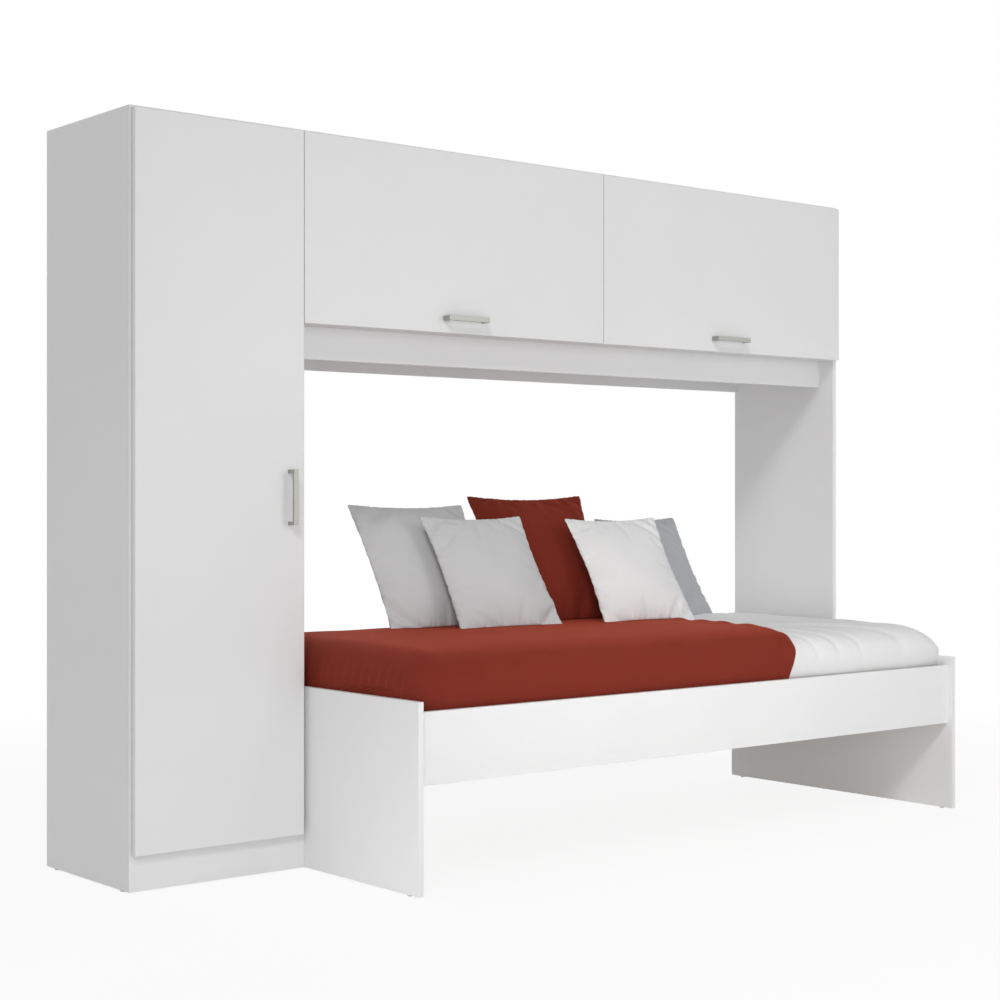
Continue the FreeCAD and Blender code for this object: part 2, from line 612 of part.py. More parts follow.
def handle_masters():
    outline = [("0", "0"), ("handle_post", "0"), ("handle_post", "handle_projection - handle_bar"),
               ("handle_length - handle_post", "handle_projection - handle_bar"),
               ("handle_length - handle_post", "0"), ("handle_length", "0"),
               ("handle_length", "handle_projection"), ("0", "handle_projection")]
    bar = soften(padded("handle_bar_body", "XY_Plane", outline, "handle_width"), "handle_round")
    posts = ("handle_post / 2", "handle_length - handle_post / 2")
    drill, shank, head = [], [], []
    for i, x in enumerate(posts):
        drill.append(rod(f"handle_drill_{i}", "screw_radius + fit", "screw_grip + fit + overrun",
                         (x, "-overrun", "handle_width / 2"), "y"))
        shank.append(rod(f"handle_screw_{i}", "screw_radius", "screw_grip + board",
                         (x, "-board", "handle_width / 2"), "y"))
        head.append(rod(f"handle_screw_head_{i}", "screw_head_radius", "screw_head",
                        (x, "-board - screw_head", "handle_width / 2"), "y"))
    bored = minus("handle_bored", bar, joined("handle_drills", *drill))
    screws = [joined(f"handle_screw_whole_{i}", shank[i], head[i]) for i in range(len(posts))]
    holes = [rod(f"handle_board_hole_{i}", "screw_radius + fit", "board + 2 * overrun",
                 (x, "-board - overrun", "handle_width / 2"), "y") for i, x in enumerate(posts)]
    doc.recompute()
    return SimpleNamespace(bar=bored, screws=screws, holes=holes)


def fit_handle(handle, front_label, handle_label, where):
    copies(handle_label, (handle.bar, where))
    copies(handle_label + "_screws", *((screw, where) for screw in handle.screws))
    for hole in handle.holes:
        cut_from(front_label, moved(hole, where))


def wardrobe_door(hinge, handle):
    board("wardrobe_door", ("door_right - door_left", "board", "front_top - door_bottom"),
          ("door_left", "door_front", "door_bottom"))
    middle = Vector(s.door_right - s.door_handle_inset - s.handle_width / 2, s.door_front,
                    s.glide_height + s.door_handle_height - s.handle_length / 2)
    fit_handle(handle, "wardrobe_door", "door_handle", frame(middle, UP, FRONT))
    heights = spread(s.door_bottom + s.door_hinge_inset, s.front_top - s.door_hinge_inset,
                     COUNTS["door_hinges"])
    frames = [frame(Vector(s.left_face, s.front_plane, z), RIGHT, BACK) for z in heights]
    fit_hinges(hinge, "wardrobe_door", "door_hinge", frames)
    copies("door_hinge_arms", *((hinge.arm, where) for where in frames))


def fit_hinges(hinge, front_label, prefix, frames):
    copies(prefix + "_cups", *((hinge.cup, where) for where in frames))
    copies(prefix + "_inner_links", *((hinge.inner, where) for where in frames))
    copies(prefix + "_outer_links", *((hinge.outer, where) for where in frames))
    for where in frames:
        cut_from(front_label, moved(hinge.cup_hole, where))


# Gas strut: a tube on a cabinet stud and a rod on a flap stud, both equally far from the flap's axis.

def strut_masters():
    tube_end = "tube_length + eye_radius"
    bore = "tube_radius - tube_wall"
    rod_way = "rod_radius + rod_play"
    gland = tube_end + " - gland_length"
    tube = lathed("strut_tube", [(rod_way, tube_end), ("tube_radius", tube_end),
                                 ("tube_radius", "eye_radius"), ("0", "eye_radius"),
                                 ("0", "eye_radius + tube_wall"),
                                 (bore, "eye_radius + tube_wall"), (bore, gland), (rod_way, gland)])
    tube_eye = strut_eye("tube_eye")
    neck = rod("tube_neck", "rod_radius", "eye_radius + tube_wall / 2")
    whole_tube = minus("strut_whole_tube", joined("strut_tube_blank", tube, tube_eye, neck),
                       stud_hole("tube_stud_hole"))
    ram = lathed("strut_rod", [("0", "0"), ("rod_radius", "0"), ("rod_radius", "rod_length - piston_length"),
                               ("piston_radius", "rod_length - piston_length"),
                               ("piston_radius", "rod_length"),
                               ("0", "rod_length")])
    whole_rod = minus("strut_whole_rod", joined("strut_rod_blank", ram, strut_eye("rod_eye")),
                      stud_hole("rod_stud_hole"))

    # Both brackets: X across the strut's plane towards the flap's middle, Z out of the board they sit on.
    cabinet_plate = block("cabinet_plate", ("bracket_length", "bracket_width", "bracket_thickness"),
                          ("-bracket_length / 2", "-bracket_width / 2", "0"))
    cabinet_stud = rod("cabinet_stud", "stud_radius", "strut_offset + eye_half_width")
    cabinet_bracket = joined("cabinet_bracket", cabinet_plate, cabinet_stud)
    flap_plate = block("flap_plate", ("bracket_width", "bracket_length", "bracket_thickness"),
                       ("-bracket_width + bracket_thickness", "-bracket_length / 2", "0"))
    flap_ear = block("flap_ear", ("bracket_thickness", "2 * ear_half", "strut_ear_height + stud_radius * 2"),
                     ("0", "-ear_half", "0"))
    flap_stud = rod("flap_stud", "stud_radius", "bracket_thickness + 2 * eye_half_width + 2 * stud_play",
                    ("0", "0", "strut_ear_height"), "x")
    flap_bracket = joined("flap_bracket", flap_plate, flap_ear, flap_stud)
    doc.recompute()
    return SimpleNamespace(tube=whole_tube, rod=whole_rod, cabinet_bracket=cabinet_bracket,
                           flap_bracket=flap_bracket)


def strut_eye(label):
    return rod(label, "eye_radius", "2 * eye_half_width", ("-eye_half_width", "0", "0"), "x")


def stud_hole(label):
    return rod(label, "stud_radius + stud_play", "2 * eye_half_width + 2 * overrun",
               ("-eye_half_width - overrun", "0", "0"), "x")


def flap(name, left, ends, hinge, handle, strut):
    """A lift-up flap with its handle, its hinges and, on each of the two ends, a gas strut."""
    label = name + "_flap"
    board(label, ("flap_width", "board", "front_top - bridge_underside"),
          (left, "door_front", "bridge_underside"))
    x = value_of(left + " + overall_length") - s.overall_length
    middle = Vector(x + (s.flap_width - s.handle_length) / 2, s.door_front,
                    s.bridge_underside + s.flap_handle_inset + s.handle_width / 2)
    fit_handle(handle, label, label + "_handle", frame(middle, RIGHT, FRONT))
    places = spread(x + s.flap_hinge_inset, x + s.flap_width - s.flap_hinge_inset, COUNTS["flap_hinges"])
    frames = [frame(Vector(at, s.front_plane, s.top), DOWN, BACK) for at in places]
    fit_hinges(hinge, label, label + "_hinge", frames)

    stud_p = Vector(0, s.front_plane + s.stud_p_q, s.top - s.stud_p_p)
    stud_q = Vector(0, s.front_plane + s.stud_q_q, s.top - s.stud_q_p)
    along = (stud_p - stud_q).normalize()
    tubes, rods, flap_brackets, cabinet_brackets = [], [], [], []
    for face, inward in ends:
        plane = RIGHT * (face + inward * s.strut_offset)
        tubes.append((strut.tube, frame(stud_q + plane, RIGHT, along.cross(RIGHT))))
        rods.append((strut.rod, frame(stud_p + plane, RIGHT, RIGHT.cross(along))))
        cabinet_brackets.append((strut.cabinet_bracket, frame(stud_q + RIGHT * face, BACK, UP * inward)))
        ear = Vector(face + inward * (s.strut_offset + s.eye_half_width + s.stud_play + s.bracket_thickness),
                     s.door_back, stud_p.z)
        flap_brackets.append((strut.flap_bracket, frame(ear, LEFT * inward, UP * inward)))
    copies(label + "_strut_tubes", *tubes)
    copies(label + "_strut_rods", *rods)
    copies(label + "_strut_brackets", *flap_brackets)
    return [(hinge.arm, where) for where in frames], cabinet_brackets


def flaps(hinge, handle, strut):
    left_ends = ((s.partition_right, 1), (s.divider_left, -1))
    right_ends = ((s.divider_left + s.board, 1), (s.support_left, -1))
    left_arms, left_brackets = flap("left", "flap_left", left_ends, hinge, handle, strut)
    right_arms, right_brackets = flap("right", "second_flap_left", right_ends, hinge, handle, strut)
    copies("flap_hinge_arms", *left_arms, *right_arms)
    copies("cabinet_strut_brackets", *left_brackets, *right_brackets)


# Bedding. A cover is a ruled skin through sections across the bed, less what it lies on.

ROLL_SHARES = (0, 0.1, 0.24, 0.42, 0.66, 1)
END_FALL_SHARE = 0.8
RIDGE_SPREAD_SHARE = 0.16
RIDGE_SHARES = (0.4, 0.8, 1, 1, 0.9, 0.7, 0.4)
DRIFT_SHARES = (0.86, 0.82, 0.8, 0.78, 0.76, 0.72, 0.7)


def soft_block(grown):
    """The mattress as a rounded block, grown all round for what is laid over it."""
    size = (s.mattress_length, s.mattress_width, s.mattress_thickness)
    corner = Vector(s.mattress_left, s.mattress_front, s.slat_top) - Vector(grown, grown, grown)
    shape = Part.makeBox(*(side + 2 * grown for side in size), corner)
    shape = shape.makeFillet(s.mattress_corner + grown, [edge for edge in shape.Edges if upright(edge)])
    return shape.makeFillet(s.mattress_round + grown, [edge for edge in shape.Edges if not upright(edge)])


def upright(edge):
    """True for a straight edge along Z."""
    way = edge.tangentAt(edge.FirstParameter)
    return abs(way.z) > abs(way.x) + abs(way.y)


def cover_section(x, inset, top, shoulder, crown, folds):
    """A closed outline across the bed at x: two sides tucked in below, two shoulders and a crowned top."""
    bottom = s.rail_top - s.skirt_tuck
    belly = min(s.slat_top + s.belly_height, top - shoulder)
    front = s.mattress_front + inset
    back = s.mattress_front + s.mattress_width - inset
    bend = shoulder * (1 - math.cos(math.pi / 4))
    flat = back - front - 2 * shoulder
    tuck = s.skirt_tuck_in

    def crest(share):
        rise = crown * 4 * share * (1 - share) + folds(share)
        return Vector(x, front + shoulder + flat * share, top + rise)

    def side(y, inward):
        low = Vector(x, y + inward * tuck, bottom)
        middle = Vector(x, y + inward * tuck / 4, (bottom + belly) / 2)
        return low, middle, Vector(x, y, belly)

    low, middle, high = side(front, 1)
    turn = top - shoulder + s.fit
    edges = [Part.Arc(low, middle, high), Part.LineSegment(high, Vector(x, front, turn)),
             Part.Arc(Vector(x, front, turn), Vector(x, front + bend, top - bend), crest(0))]
    for i in range(COUNTS["top_arcs"]):
        edges.append(Part.Arc(*(crest((i + part) / COUNTS["top_arcs"]) for part in (0, 0.5, 1))))
    far_low, far_middle, far_high = side(back, -1)
    edges += [Part.Arc(crest(1), Vector(x, back - bend, top - bend), Vector(x, back, turn)),
              Part.LineSegment(Vector(x, back, turn), far_high),
              Part.Arc(far_high, far_middle, far_low), Part.LineSegment(far_low, low)]
    return Part.Wire([edge.toShape() for edge in edges])


def end_roll(x, length, outward):
    """Stations along a rounded end at x, each with the share by which the section has shrunk there."""
    for share in ROLL_SHARES if outward < 0 else reversed(ROLL_SHARES):
        angle = math.pi / 2 * share
        yield x - outward * length * (1 - math.cos(angle)), 1 - math.sin(angle)


def end_sections(x, length, corner, outward, inset, top, shoulder, crown):
    """Sections round an end at x: the corners are rounded in plan and the top rolls down."""
    sections = []
    for place, drop in end_roll(x, length, outward):
        fall = shoulder * END_FALL_SHARE * drop
        sections.append((place, inset + corner * drop, top - fall, shoulder - fall, crown, flat_cloth))
    return sections


def flat_cloth(share):
    return 0


def soft_ridge(height, drift):
    """One broad ridge along the bed, towards the wall, fading to both sides."""
    def fold(share):
        return height * math.exp(-((share - drift) / RIDGE_SPREAD_SHARE) ** 2) * math.sin(math.pi * share)
    return fold


def mattress():
    item = doc.addObject("Part::Feature", "mattress_block")
    item.Shape = soft_block(0)
    keep("mattress", item)


def cover(label, skin, under):
    item = doc.addObject("Part::Feature", label)
    item.Shape = skin.cut(under)
    keep(label, item)


def skin(stations):
    return Part.makeLoft([cover_section(*station) for station in stations], True, True)


def duvet_left_end(grown):
    """Sections of the duvet's rounded left end, grown for what lies over it, and the values they use."""
    inset = -s.soft_clearance - s.duvet_skirt - grown
    top = s.mattress_top + s.soft_clearance + s.duvet_top + grown
    shoulder = s.duvet_shoulder + grown
    left = s.mattress_left - s.duvet_end - grown
    stations = end_sections(left, shoulder, s.plan_corner, -1, inset, top, shoulder, s.duvet_crown)
    return stations, (inset, top, shoulder, s.duvet_crown)


def covers():
    gap = s.soft_clearance
    edge = s.bed_left_inner + s.spread_length
    right = s.bed_right_inner - gap
    stations, (inset, top, shoulder, crown) = duvet_left_end(0)
    stations.append((edge, inset, top, shoulder, crown, flat_cloth))
    places = spread(edge + 2 * s.spread_roll, right - s.duvet_right_roll - shoulder / 2, len(RIDGE_SHARES))
    for x, ridge, drift in zip(places, RIDGE_SHARES, DRIFT_SHARES):
        stations.append((x, inset, top, shoulder, crown, soft_ridge(s.duvet_fold * ridge, drift)))
    stations += end_sections(right, s.duvet_right_roll, s.duvet_right_corner, 1, inset, top, shoulder, crown)
    cover("white_duvet", skin(stations), soft_block(gap))

    under, (under_inset, under_top, under_shoulder, under_crown) = duvet_left_end(gap)
    under.append((edge + s.overrun, under_inset, under_top, under_shoulder, under_crown, flat_cloth))
    inset = under_inset - s.spread_skirt
    top = under_top + s.spread_top
    shoulder = s.spread_shoulder
    left = under[0][0] - s.spread_end
    stations = end_sections(left, shoulder, s.plan_corner, -1, inset, top, shoulder, s.spread_crown)
    for x, drop in end_roll(edge, s.spread_roll, 1):
        thin = (s.spread_top - s.spread_edge) * drop
        stations.append((x, inset + s.spread_skirt / 2 * drop, top - thin, shoulder - thin / 2,
                         s.spread_crown + (under_crown - s.spread_crown) * drop, flat_cloth))
    cover("red_bedspread", skin(stations), skin(under).fuse(soft_block(gap)))


# Cushions. Each half is a loft from the seam, whose sides are drawn in between the corners, to the crown.

LEVEL_SHARES = (0, 0.3, 0.56, 0.77, 0.91, 0.98, 1)
REACH_SHARES = (1, 0.9, 0.765, 0.6, 0.42, 0.25, 0.14)
SWELL_SHARES = (0, 0.05, 0.12, 0.19, 0.26, 0.31, 0.33)
PLACE_SHARES = {
    # foot along the bed and across the mattress
    "large_grey_cushion": (0.3070, 0.7550),
    "small_grey_cushion": (0.3709, 0.6098),
    "red_cushion": (0.5196, 0.7539),
    "white_cushion": (0.6218, 0.5629),
    "blue_grey_cushion": (0.7554, 0.7596),
}


def bowed_square(width, height, bow, level):
    """Four arcs between the corners: drawn in where the bow is negative, swollen where it is positive."""
    corners = [Vector(x * width / 2, y * height / 2, level)
               for x, y in ((-1, -1), (1, -1), (1, 1), (-1, 1))]
    arcs = []
    for i, side in enumerate((FRONT, RIGHT, BACK, LEFT)):
        a, b = corners[i], corners[(i + 1) % 4]
        arcs.append(Part.Arc(a, (a + b) / 2 + side * bow, b).toShape())
    return Part.Wire(arcs)


def cushion_shape(width, height):
    """A cushion about its own middle: X along its foot, Y up its face, Z through its thickness."""
    half = s.fullness_share * width / 2
    halves = []
    for face in (1, -1):
        wires = [bowed_square(width * reach, height * reach, (swell - s.drawn_in_share) * width / 2,
                              face * level * half)
                 for level, reach, swell in zip(LEVEL_SHARES, REACH_SHARES, SWELL_SHARES)]
        halves.append(Part.makeLoft(wires, True, False))
    return halves[0].fuse(halves[1]).removeSplitter()


def cushions():
    """Each cushion is held over its place at its own slant and let down onto the bedding."""
    seats = [nodes["white_duvet"].Shape, nodes["red_bedspread"].Shape]
    crown = s.mattress_top + s.duvet_top + s.spread_top + s.spread_crown
    for label, (along, across) in PLACE_SHARES.items():
        own = ("width", "height", "lean_angle", "turn_angle")
        width, height, lean, turn = (getattr(s, label.replace("cushion", size)) for size in own)
        item = doc.addObject("Part::Feature", label)
        item.Shape = cushion_shape(width, height)
        turned = FreeCAD.Rotation(UP, turn).multiply(FreeCAD.Rotation(RIGHT, 90 - lean))
        foot = Vector(s.bed_left_inner + along * s.bed_inside, s.mattress_front + across * s.mattress_width,
                      crown + s.cushion_drop)
        item.Placement = FreeCAD.Placement(foot + turned.multVec(BACK) * height / 2, turned)
        for _ in range(COUNTS["seating_steps"]):
            gap = min(item.Shape.distToShape(seat)[0] for seat in seats)
            item.Placement.Base += DOWN * (gap - s.soft_clearance)
        lowest = round(item.Shape.BoundBox.ZMin, 1)
        print(label, "rests", round(gap, 2), "from the bedding, lowest at", lowest)
        keep(label, item)


def check_and_write():
    doc.recompute()
    for item in doc.Objects:
        if "Invalid" in item.State or "Error" in item.State:
            raise RuntimeError(f"{item.Label}: {item.State}")
    os.makedirs("parts", exist_ok=True)
    for label, item in nodes.items():
        shape = item.Shape
        if shape.isNull() or not shape.isValid():
            raise RuntimeError(label + ": bad shape")
        shape.exportStep(f"parts/{label}.step")
    print(len(nodes), "nodes,", sum(len(item.Shape.Solids) for item in nodes.values()), "solids")


def main():
    wardrobe()
    bridge()
    bed()
    floor_glides()
    hinge = hinge_masters()
    handle = handle_masters()
    strut = strut_masters()
    wardrobe_door(hinge, handle)
    flaps(hinge, handle, strut)
    cam_fittings()
    finish_boards()
    mattress()
    covers()
    cushions()
    check_and_write()


main()
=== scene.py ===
import json
import math
from collections import namedtuple

import bmesh
import bpy
import numpy as np
from mathutils import Euler, Matrix, Vector
from mathutils.bvhtree import BVHTree


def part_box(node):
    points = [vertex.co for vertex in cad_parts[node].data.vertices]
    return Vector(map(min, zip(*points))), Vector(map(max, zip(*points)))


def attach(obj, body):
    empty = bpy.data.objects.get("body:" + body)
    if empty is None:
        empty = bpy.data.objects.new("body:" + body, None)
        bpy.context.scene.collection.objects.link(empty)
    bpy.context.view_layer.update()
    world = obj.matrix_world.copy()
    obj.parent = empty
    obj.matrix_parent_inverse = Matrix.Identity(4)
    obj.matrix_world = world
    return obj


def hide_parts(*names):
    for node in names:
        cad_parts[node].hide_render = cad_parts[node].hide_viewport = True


# Single bed in a bay beside a wardrobe, under a cupboard with two lift-up flaps.
# Metres, in the part's own frame.

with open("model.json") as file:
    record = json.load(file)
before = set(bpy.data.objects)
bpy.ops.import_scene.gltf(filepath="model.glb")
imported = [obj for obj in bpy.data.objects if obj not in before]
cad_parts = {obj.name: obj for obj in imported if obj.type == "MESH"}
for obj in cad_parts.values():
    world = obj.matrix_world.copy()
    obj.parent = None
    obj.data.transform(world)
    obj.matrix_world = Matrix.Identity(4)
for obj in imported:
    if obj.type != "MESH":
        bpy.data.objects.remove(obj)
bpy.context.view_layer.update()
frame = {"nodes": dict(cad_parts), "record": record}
nodes = frame["nodes"]
MM = 0.001


# Shader sums

class Value:
    """A number that varies over a surface. Sums and products of it add Math nodes."""

    def __init__(self, tree, socket):
        self.tree = tree
        self.socket = socket

    def sum(self, operation, *terms):
        node = self.tree.nodes.new("ShaderNodeMath")
        node.operation = operation
        for entry, term in zip(node.inputs, terms):
            plug(self.tree, entry, term)
        return Value(self.tree, node.outputs[0])

    def __add__(self, other):
        return self.sum("ADD", self, other)

    def __rsub__(self, other):
        return self.sum("SUBTRACT", other, self)

    def __mul__(self, other):
        return self.sum("MULTIPLY", self, other)

    def larger(self, other):
        return self.sum("MAXIMUM", self, other)

    __radd__ = __add__
    __rmul__ = __mul__


def plug(tree, entry, term):
    if isinstance(term, Value):
        tree.links.new(term.socket, entry)
    else:
        entry.default_value = term


def ramp_stops(ramp, stops):
    while len(ramp.elements) < len(stops):
        ramp.elements.new(1.0)
    for element, (position, colour) in zip(ramp.elements, stops):
        element.position = position
        element.color = (*colour, 1)


def shade(colour, factor):
    return tuple(min(channel * factor, 1) for channel in colour)


class Finish:
    """A material made of nodes, with one shader at its end."""

    def __init__(self, name, **constants):
        self.material = bpy.data.materials.new(name)
        self.material.use_nodes = True
        self.tree = self.material.node_tree
        self.shader = self.tree.nodes["Principled BSDF"]
        self.set(**constants)

    def set(self, **terms):
        """Fills the shader's sockets: base_color is its Base Color, and so on."""
        for key, term in terms.items():
            label = key.replace("_", " ").title().replace("Ior", "IOR")
            plug(self.tree, self.shader.inputs[label], term)

    def node(self, kind, settings=None, sockets=None, out=0):
        node = self.tree.nodes.new("ShaderNode" + kind)
        for key, setting in (settings or {}).items():
            if key == "stops":
                ramp_stops(node.color_ramp, setting)
            else:
                setattr(node, key, setting)
        for key, term in (sockets or {}).items():
            plug(self.tree, node.inputs[key], term)
        return Value(self.tree, node.outputs[out])

    def place(self, stretch=(1, 1, 1), cloth=False):
        """Where a point lies, stretched for patterns: on the piece, or on its cloth's own flat measure."""
        where = self.node("UVMap") if cloth else self.node("TexCoord", out="Object")
        return self.node("Mapping", None, {"Vector": where, "Scale": stretch})

    def grain(self, where, size, detail=2.0, roughness=0.5):
        """Noise with grains of about the given size, from 0 to 1."""
        return self.node("TexNoise", None, {"Vector": where, "Scale": 1 / size, "Detail": detail,
                                            "Roughness": roughness}, "Fac")

    def bands(self, where, way, scale, distortion, detail, detail_scale):
        """Wavering lines across one way of a pattern, from 0 to 1."""
        return self.node("TexWave", {"bands_direction": way},
                         {"Vector": where, "Scale": scale, "Distortion": distortion, "Detail": detail,
                          "Detail Scale": detail_scale}, "Fac")

    def ramp(self, value, *stops):
        return self.node("ValToRGB", {"stops": stops}, {"Fac": value}, "Color")

    def tones(self, value, colour, low, high=1.0, edge=0.3):
        """The colour times a factor that goes from low to high with the value."""
        return self.ramp(value, (edge, shade(colour, low)), (1 - edge, shade(colour, high)))

    def relief(self, height, depth, strength):
        bump = self.node("Bump", None, {"Height": height, "Distance": depth, "Strength": strength}, "Normal")
        self.set(normal=bump)


# Finishes

def melamine(name, colour, sheen):
    """White melamine facing: a very fine pearl structure, faint cloudiness and a satin gloss."""
    finish = Finish(name)
    where = finish.place()
    cloud = finish.grain(where, size=0.35, detail=3.0)
    pearl = finish.grain(where, size=0.0012, detail=1.0)
    finish.set(base_color=finish.tones(cloud, colour, low=0.985, high=1.01),
               roughness=sheen + 0.08 * pearl + 0.05 * cloud)
    finish.relief(pearl, depth=0.00003, strength=0.35)
    return finish.material


def hardboard(name, colour):
    """Thin pressed board with a painted face: fine fibres and faint clouds."""
    finish = Finish(name)
    where = finish.place()
    fibre = finish.grain(where, size=0.004, detail=4.0)
    cloud = finish.grain(where, size=0.2)
    finish.set(base_color=finish.tones(cloud, colour, low=0.97), roughness=0.5 + 0.2 * fibre)
    finish.relief(fibre, depth=0.00008, strength=0.5)
    return finish.material


def brushed(name, colour, stretch, polish):
    """Metal with fine lines along one way and slow changes in gloss."""
    finish = Finish(name, metallic=1.0)
    lines = finish.grain(finish.place(stretch), size=0.0007, detail=3.0, roughness=0.65)
    cloud = finish.grain(finish.place(), size=0.03)
    finish.set(base_color=finish.tones(lines, colour, low=0.88, high=1.06, edge=0.2),
               roughness=polish + 0.14 * lines + 0.06 * cloud)
    finish.relief(lines, depth=0.00002, strength=0.5)
    return finish.material


def enamel(name, colour):
    """Sprayed paint with a slight orange peel."""
    finish = Finish(name)
    where = finish.place()
    skin = finish.grain(where, size=0.0022)
    finish.set(base_color=finish.tones(finish.grain(where, size=0.05), colour, low=0.92),
               roughness=0.3 + 0.15 * skin)
    finish.relief(skin, depth=0.00005, strength=0.6)
    return finish.material


def moulded(name, colour):
    """Plastic from a finely eroded mould."""
    finish = Finish(name)
    where = finish.place()
    spark = finish.grain(where, size=0.0006, detail=1.0)
    finish.set(base_color=finish.tones(finish.grain(where, size=0.01), colour, low=0.94),
               roughness=0.5 + 0.2 * spark)
    finish.relief(spark, depth=0.00006, strength=0.7)
    return finish.material


def planed_wood(name, pale, dark, stretch):
    """Bare softwood: rings stretched along the grain, darker pores and a dry surface."""
    finish = Finish(name)
    where = finish.place(stretch)
    drift = finish.grain(where, size=0.11, detail=3.0)
    rings = finish.bands(where, "X", scale=26.0, distortion=5.0, detail=2.0, detail_scale=1.6)
    pores = finish.grain(where, size=0.0016, detail=4.0, roughness=0.7)
    tone = 0.55 * rings + 0.25 * drift + 0.2 * pores
    finish.set(base_color=finish.ramp(tone, (0.18, dark), (0.5, shade(pale, 0.93)), (0.85, pale)),
               roughness=0.55 + 0.2 * pores)
    finish.relief(pores, depth=0.00012, strength=0.5)
    return finish.material


def cotton(name, colour, thread, nap, slub=0.05, tint=(1, 1, 1)):
    """Woven cotton on the cloth's own measure: threads over and under, slubs, slow tones and a soft nap."""
    finish = Finish(name, sheen_weight=nap, sheen_roughness=0.45, sheen_tint=(*tint, 1),
                    specular_ior_level=0.18)
    where = finish.place(cloth=True)
    warp, weft = [finish.bands(where, way, scale=0.5 / thread, distortion=0.6, detail=1.0, detail_scale=2.0)
                  for way in "XY"]
    weave = warp * weft + (1 - warp) * (1 - weft)
    tone = finish.grain(where, size=0.16, detail=3.0)
    fluff = finish.grain(finish.place((1, 6, 1), cloth=True), size=0.006, detail=3.0, roughness=0.6)
    mixed = 0.6 * tone + 0.25 * fluff + 0.15 * weave
    finish.set(base_color=finish.tones(mixed, colour, low=1 - slub, high=1 + slub, edge=0.25),
               roughness=0.82 + 0.12 * fluff)
    finish.relief(0.7 * weave + 0.5 * fluff, depth=0.00025, strength=0.45)
    return finish.material


def sewing_thread(name, colour):
    """Twisted cotton thread: paler and darker plies and a dry surface."""
    finish = Finish(name, specular_ior_level=0.2)
    plies = finish.grain(finish.place((1, 1, 2.5)), size=0.0005, detail=1.0)
    finish.set(base_color=finish.tones(plies, colour, low=0.8, high=1.2), roughness=0.75 + 0.15 * plies)
    finish.relief(plies, depth=0.0001, strength=0.5)
    return finish.material


FINISHES = {
    "white_board": melamine("white_melamine", (0.80, 0.80, 0.80), sheen=0.36),
    "thin_back": hardboard("white_hardboard", (0.78, 0.78, 0.77)),
    "satin_metal": brushed("satin_handle_metal", (0.43, 0.43, 0.405), stretch=(1, 1, 1), polish=0.48),
    "zinc_steel": brushed("plated_steel", (0.58, 0.58, 0.58), stretch=(1, 12, 1), polish=0.26),
    "bright_steel": brushed("bright_plated_steel", (0.72, 0.72, 0.73), stretch=(0.08, 1, 1), polish=0.1),
    "grey_paint": enamel("grey_strut_enamel", (0.13, 0.13, 0.135)),
    "natural_wood": planed_wood("planed_softwood", (0.74, 0.60, 0.43), (0.56, 0.41, 0.26),
                                stretch=(1, 0.06, 1)),
    "glide_plastic": moulded("pale_glide_plastic", (0.72, 0.72, 0.71)),
    "mattress_cloth": cotton("mattress_ticking", (0.74, 0.73, 0.7), thread=0.0011, nap=0.15),
    "white_cloth": cotton("white_cotton", (0.79, 0.79, 0.79), thread=0.0007, nap=0.1, slub=0.03),
    "red_cloth": cotton("brick_red_cotton", (0.182, 0.0225, 0.0113), thread=0.0008, nap=0.58, slub=0.08,
                        tint=(0.70, 0.105, 0.046)),
    "grey_cloth": cotton("light_grey_cotton", (0.628, 0.633, 0.64), thread=0.0008, nap=0.1, slub=0.04),
    "blue_grey_cloth": cotton("blue_grey_cotton", (0.45, 0.465, 0.485), thread=0.0008, nap=0.1, slub=0.04),
}


def dress_boards():
    """Every piece of the frame that stays in view takes the finish of its slot."""
    for entry in frame["record"]["subparts"]:
        piece = nodes[entry["node"]]
        piece.data.materials.clear()
        piece.data.materials.append(FINISHES[entry["material_slot"]])


# Helpers for new pieces

def add_object(name, data):
    thing = bpy.data.objects.new(name, data)
    bpy.context.scene.collection.objects.link(thing)
    return thing


def smooth_faces(mesh):
    for polygon in mesh.polygons:
        polygon.use_smooth = True


def plain_mesh(name, shape):
    """A new mesh with the faces of an edited shape, which is freed."""
    mesh = bpy.data.meshes.new(name)
    shape.to_mesh(mesh)
    shape.free()
    return mesh


def outcome(piece):
    """What a piece's modifiers make of it, as a plain mesh."""
    return bpy.data.meshes.new_from_object(piece.evaluated_get(bpy.context.evaluated_depsgraph_get()))


def new_piece(name, mesh, slot):
    piece = add_object(name, mesh)
    mesh.materials.clear()
    mesh.materials.append(FINISHES[slot])
    smooth_faces(mesh)
    return piece


def get_points(piece):
    points = np.empty(3 * len(piece.data.vertices))
    piece.data.vertices.foreach_get("co", points)
    return points.reshape(-1, 3)


def set_points(piece, points):
    piece.data.vertices.foreach_set("co", points.ravel())
    piece.data.update()


def smooth_step(low, high, x):
    t = np.clip((x - low) / (high - low), 0, 1)
    return t * t * (3 - 2 * t)


def waves(x, y, seed, count, short, long):
    """A calm sum of slanted waves, the same on every run, from about -1 to 1."""
    source = np.random.default_rng(seed)
    total = np.zeros_like(x)
    for _ in range(count):
        angle, phase = source.uniform(0, 2 * math.pi, 2)
        pitch = source.uniform(short, long)
        total += np.sin(2 * math.pi * (x * math.cos(angle) + y * math.sin(angle)) / pitch + phase)
    return total / math.sqrt(count)


# Mattress and covers

BELLY = 90 * MM


class Bedding:
    """Measures of the bed's soft layers, in metres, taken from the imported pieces."""

    def __init__(self):
        self.low, self.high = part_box("mattress")
        self.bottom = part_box("red_bedspread")[0].z
        self.belly = self.low.z + BELLY
        self.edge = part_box("red_bedspread")[1].x
        self.duvet_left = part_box("white_duvet")[0].x
        self.duvet_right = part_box("white_duvet")[1].x
        self.spread_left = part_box("red_bedspread")[0].x


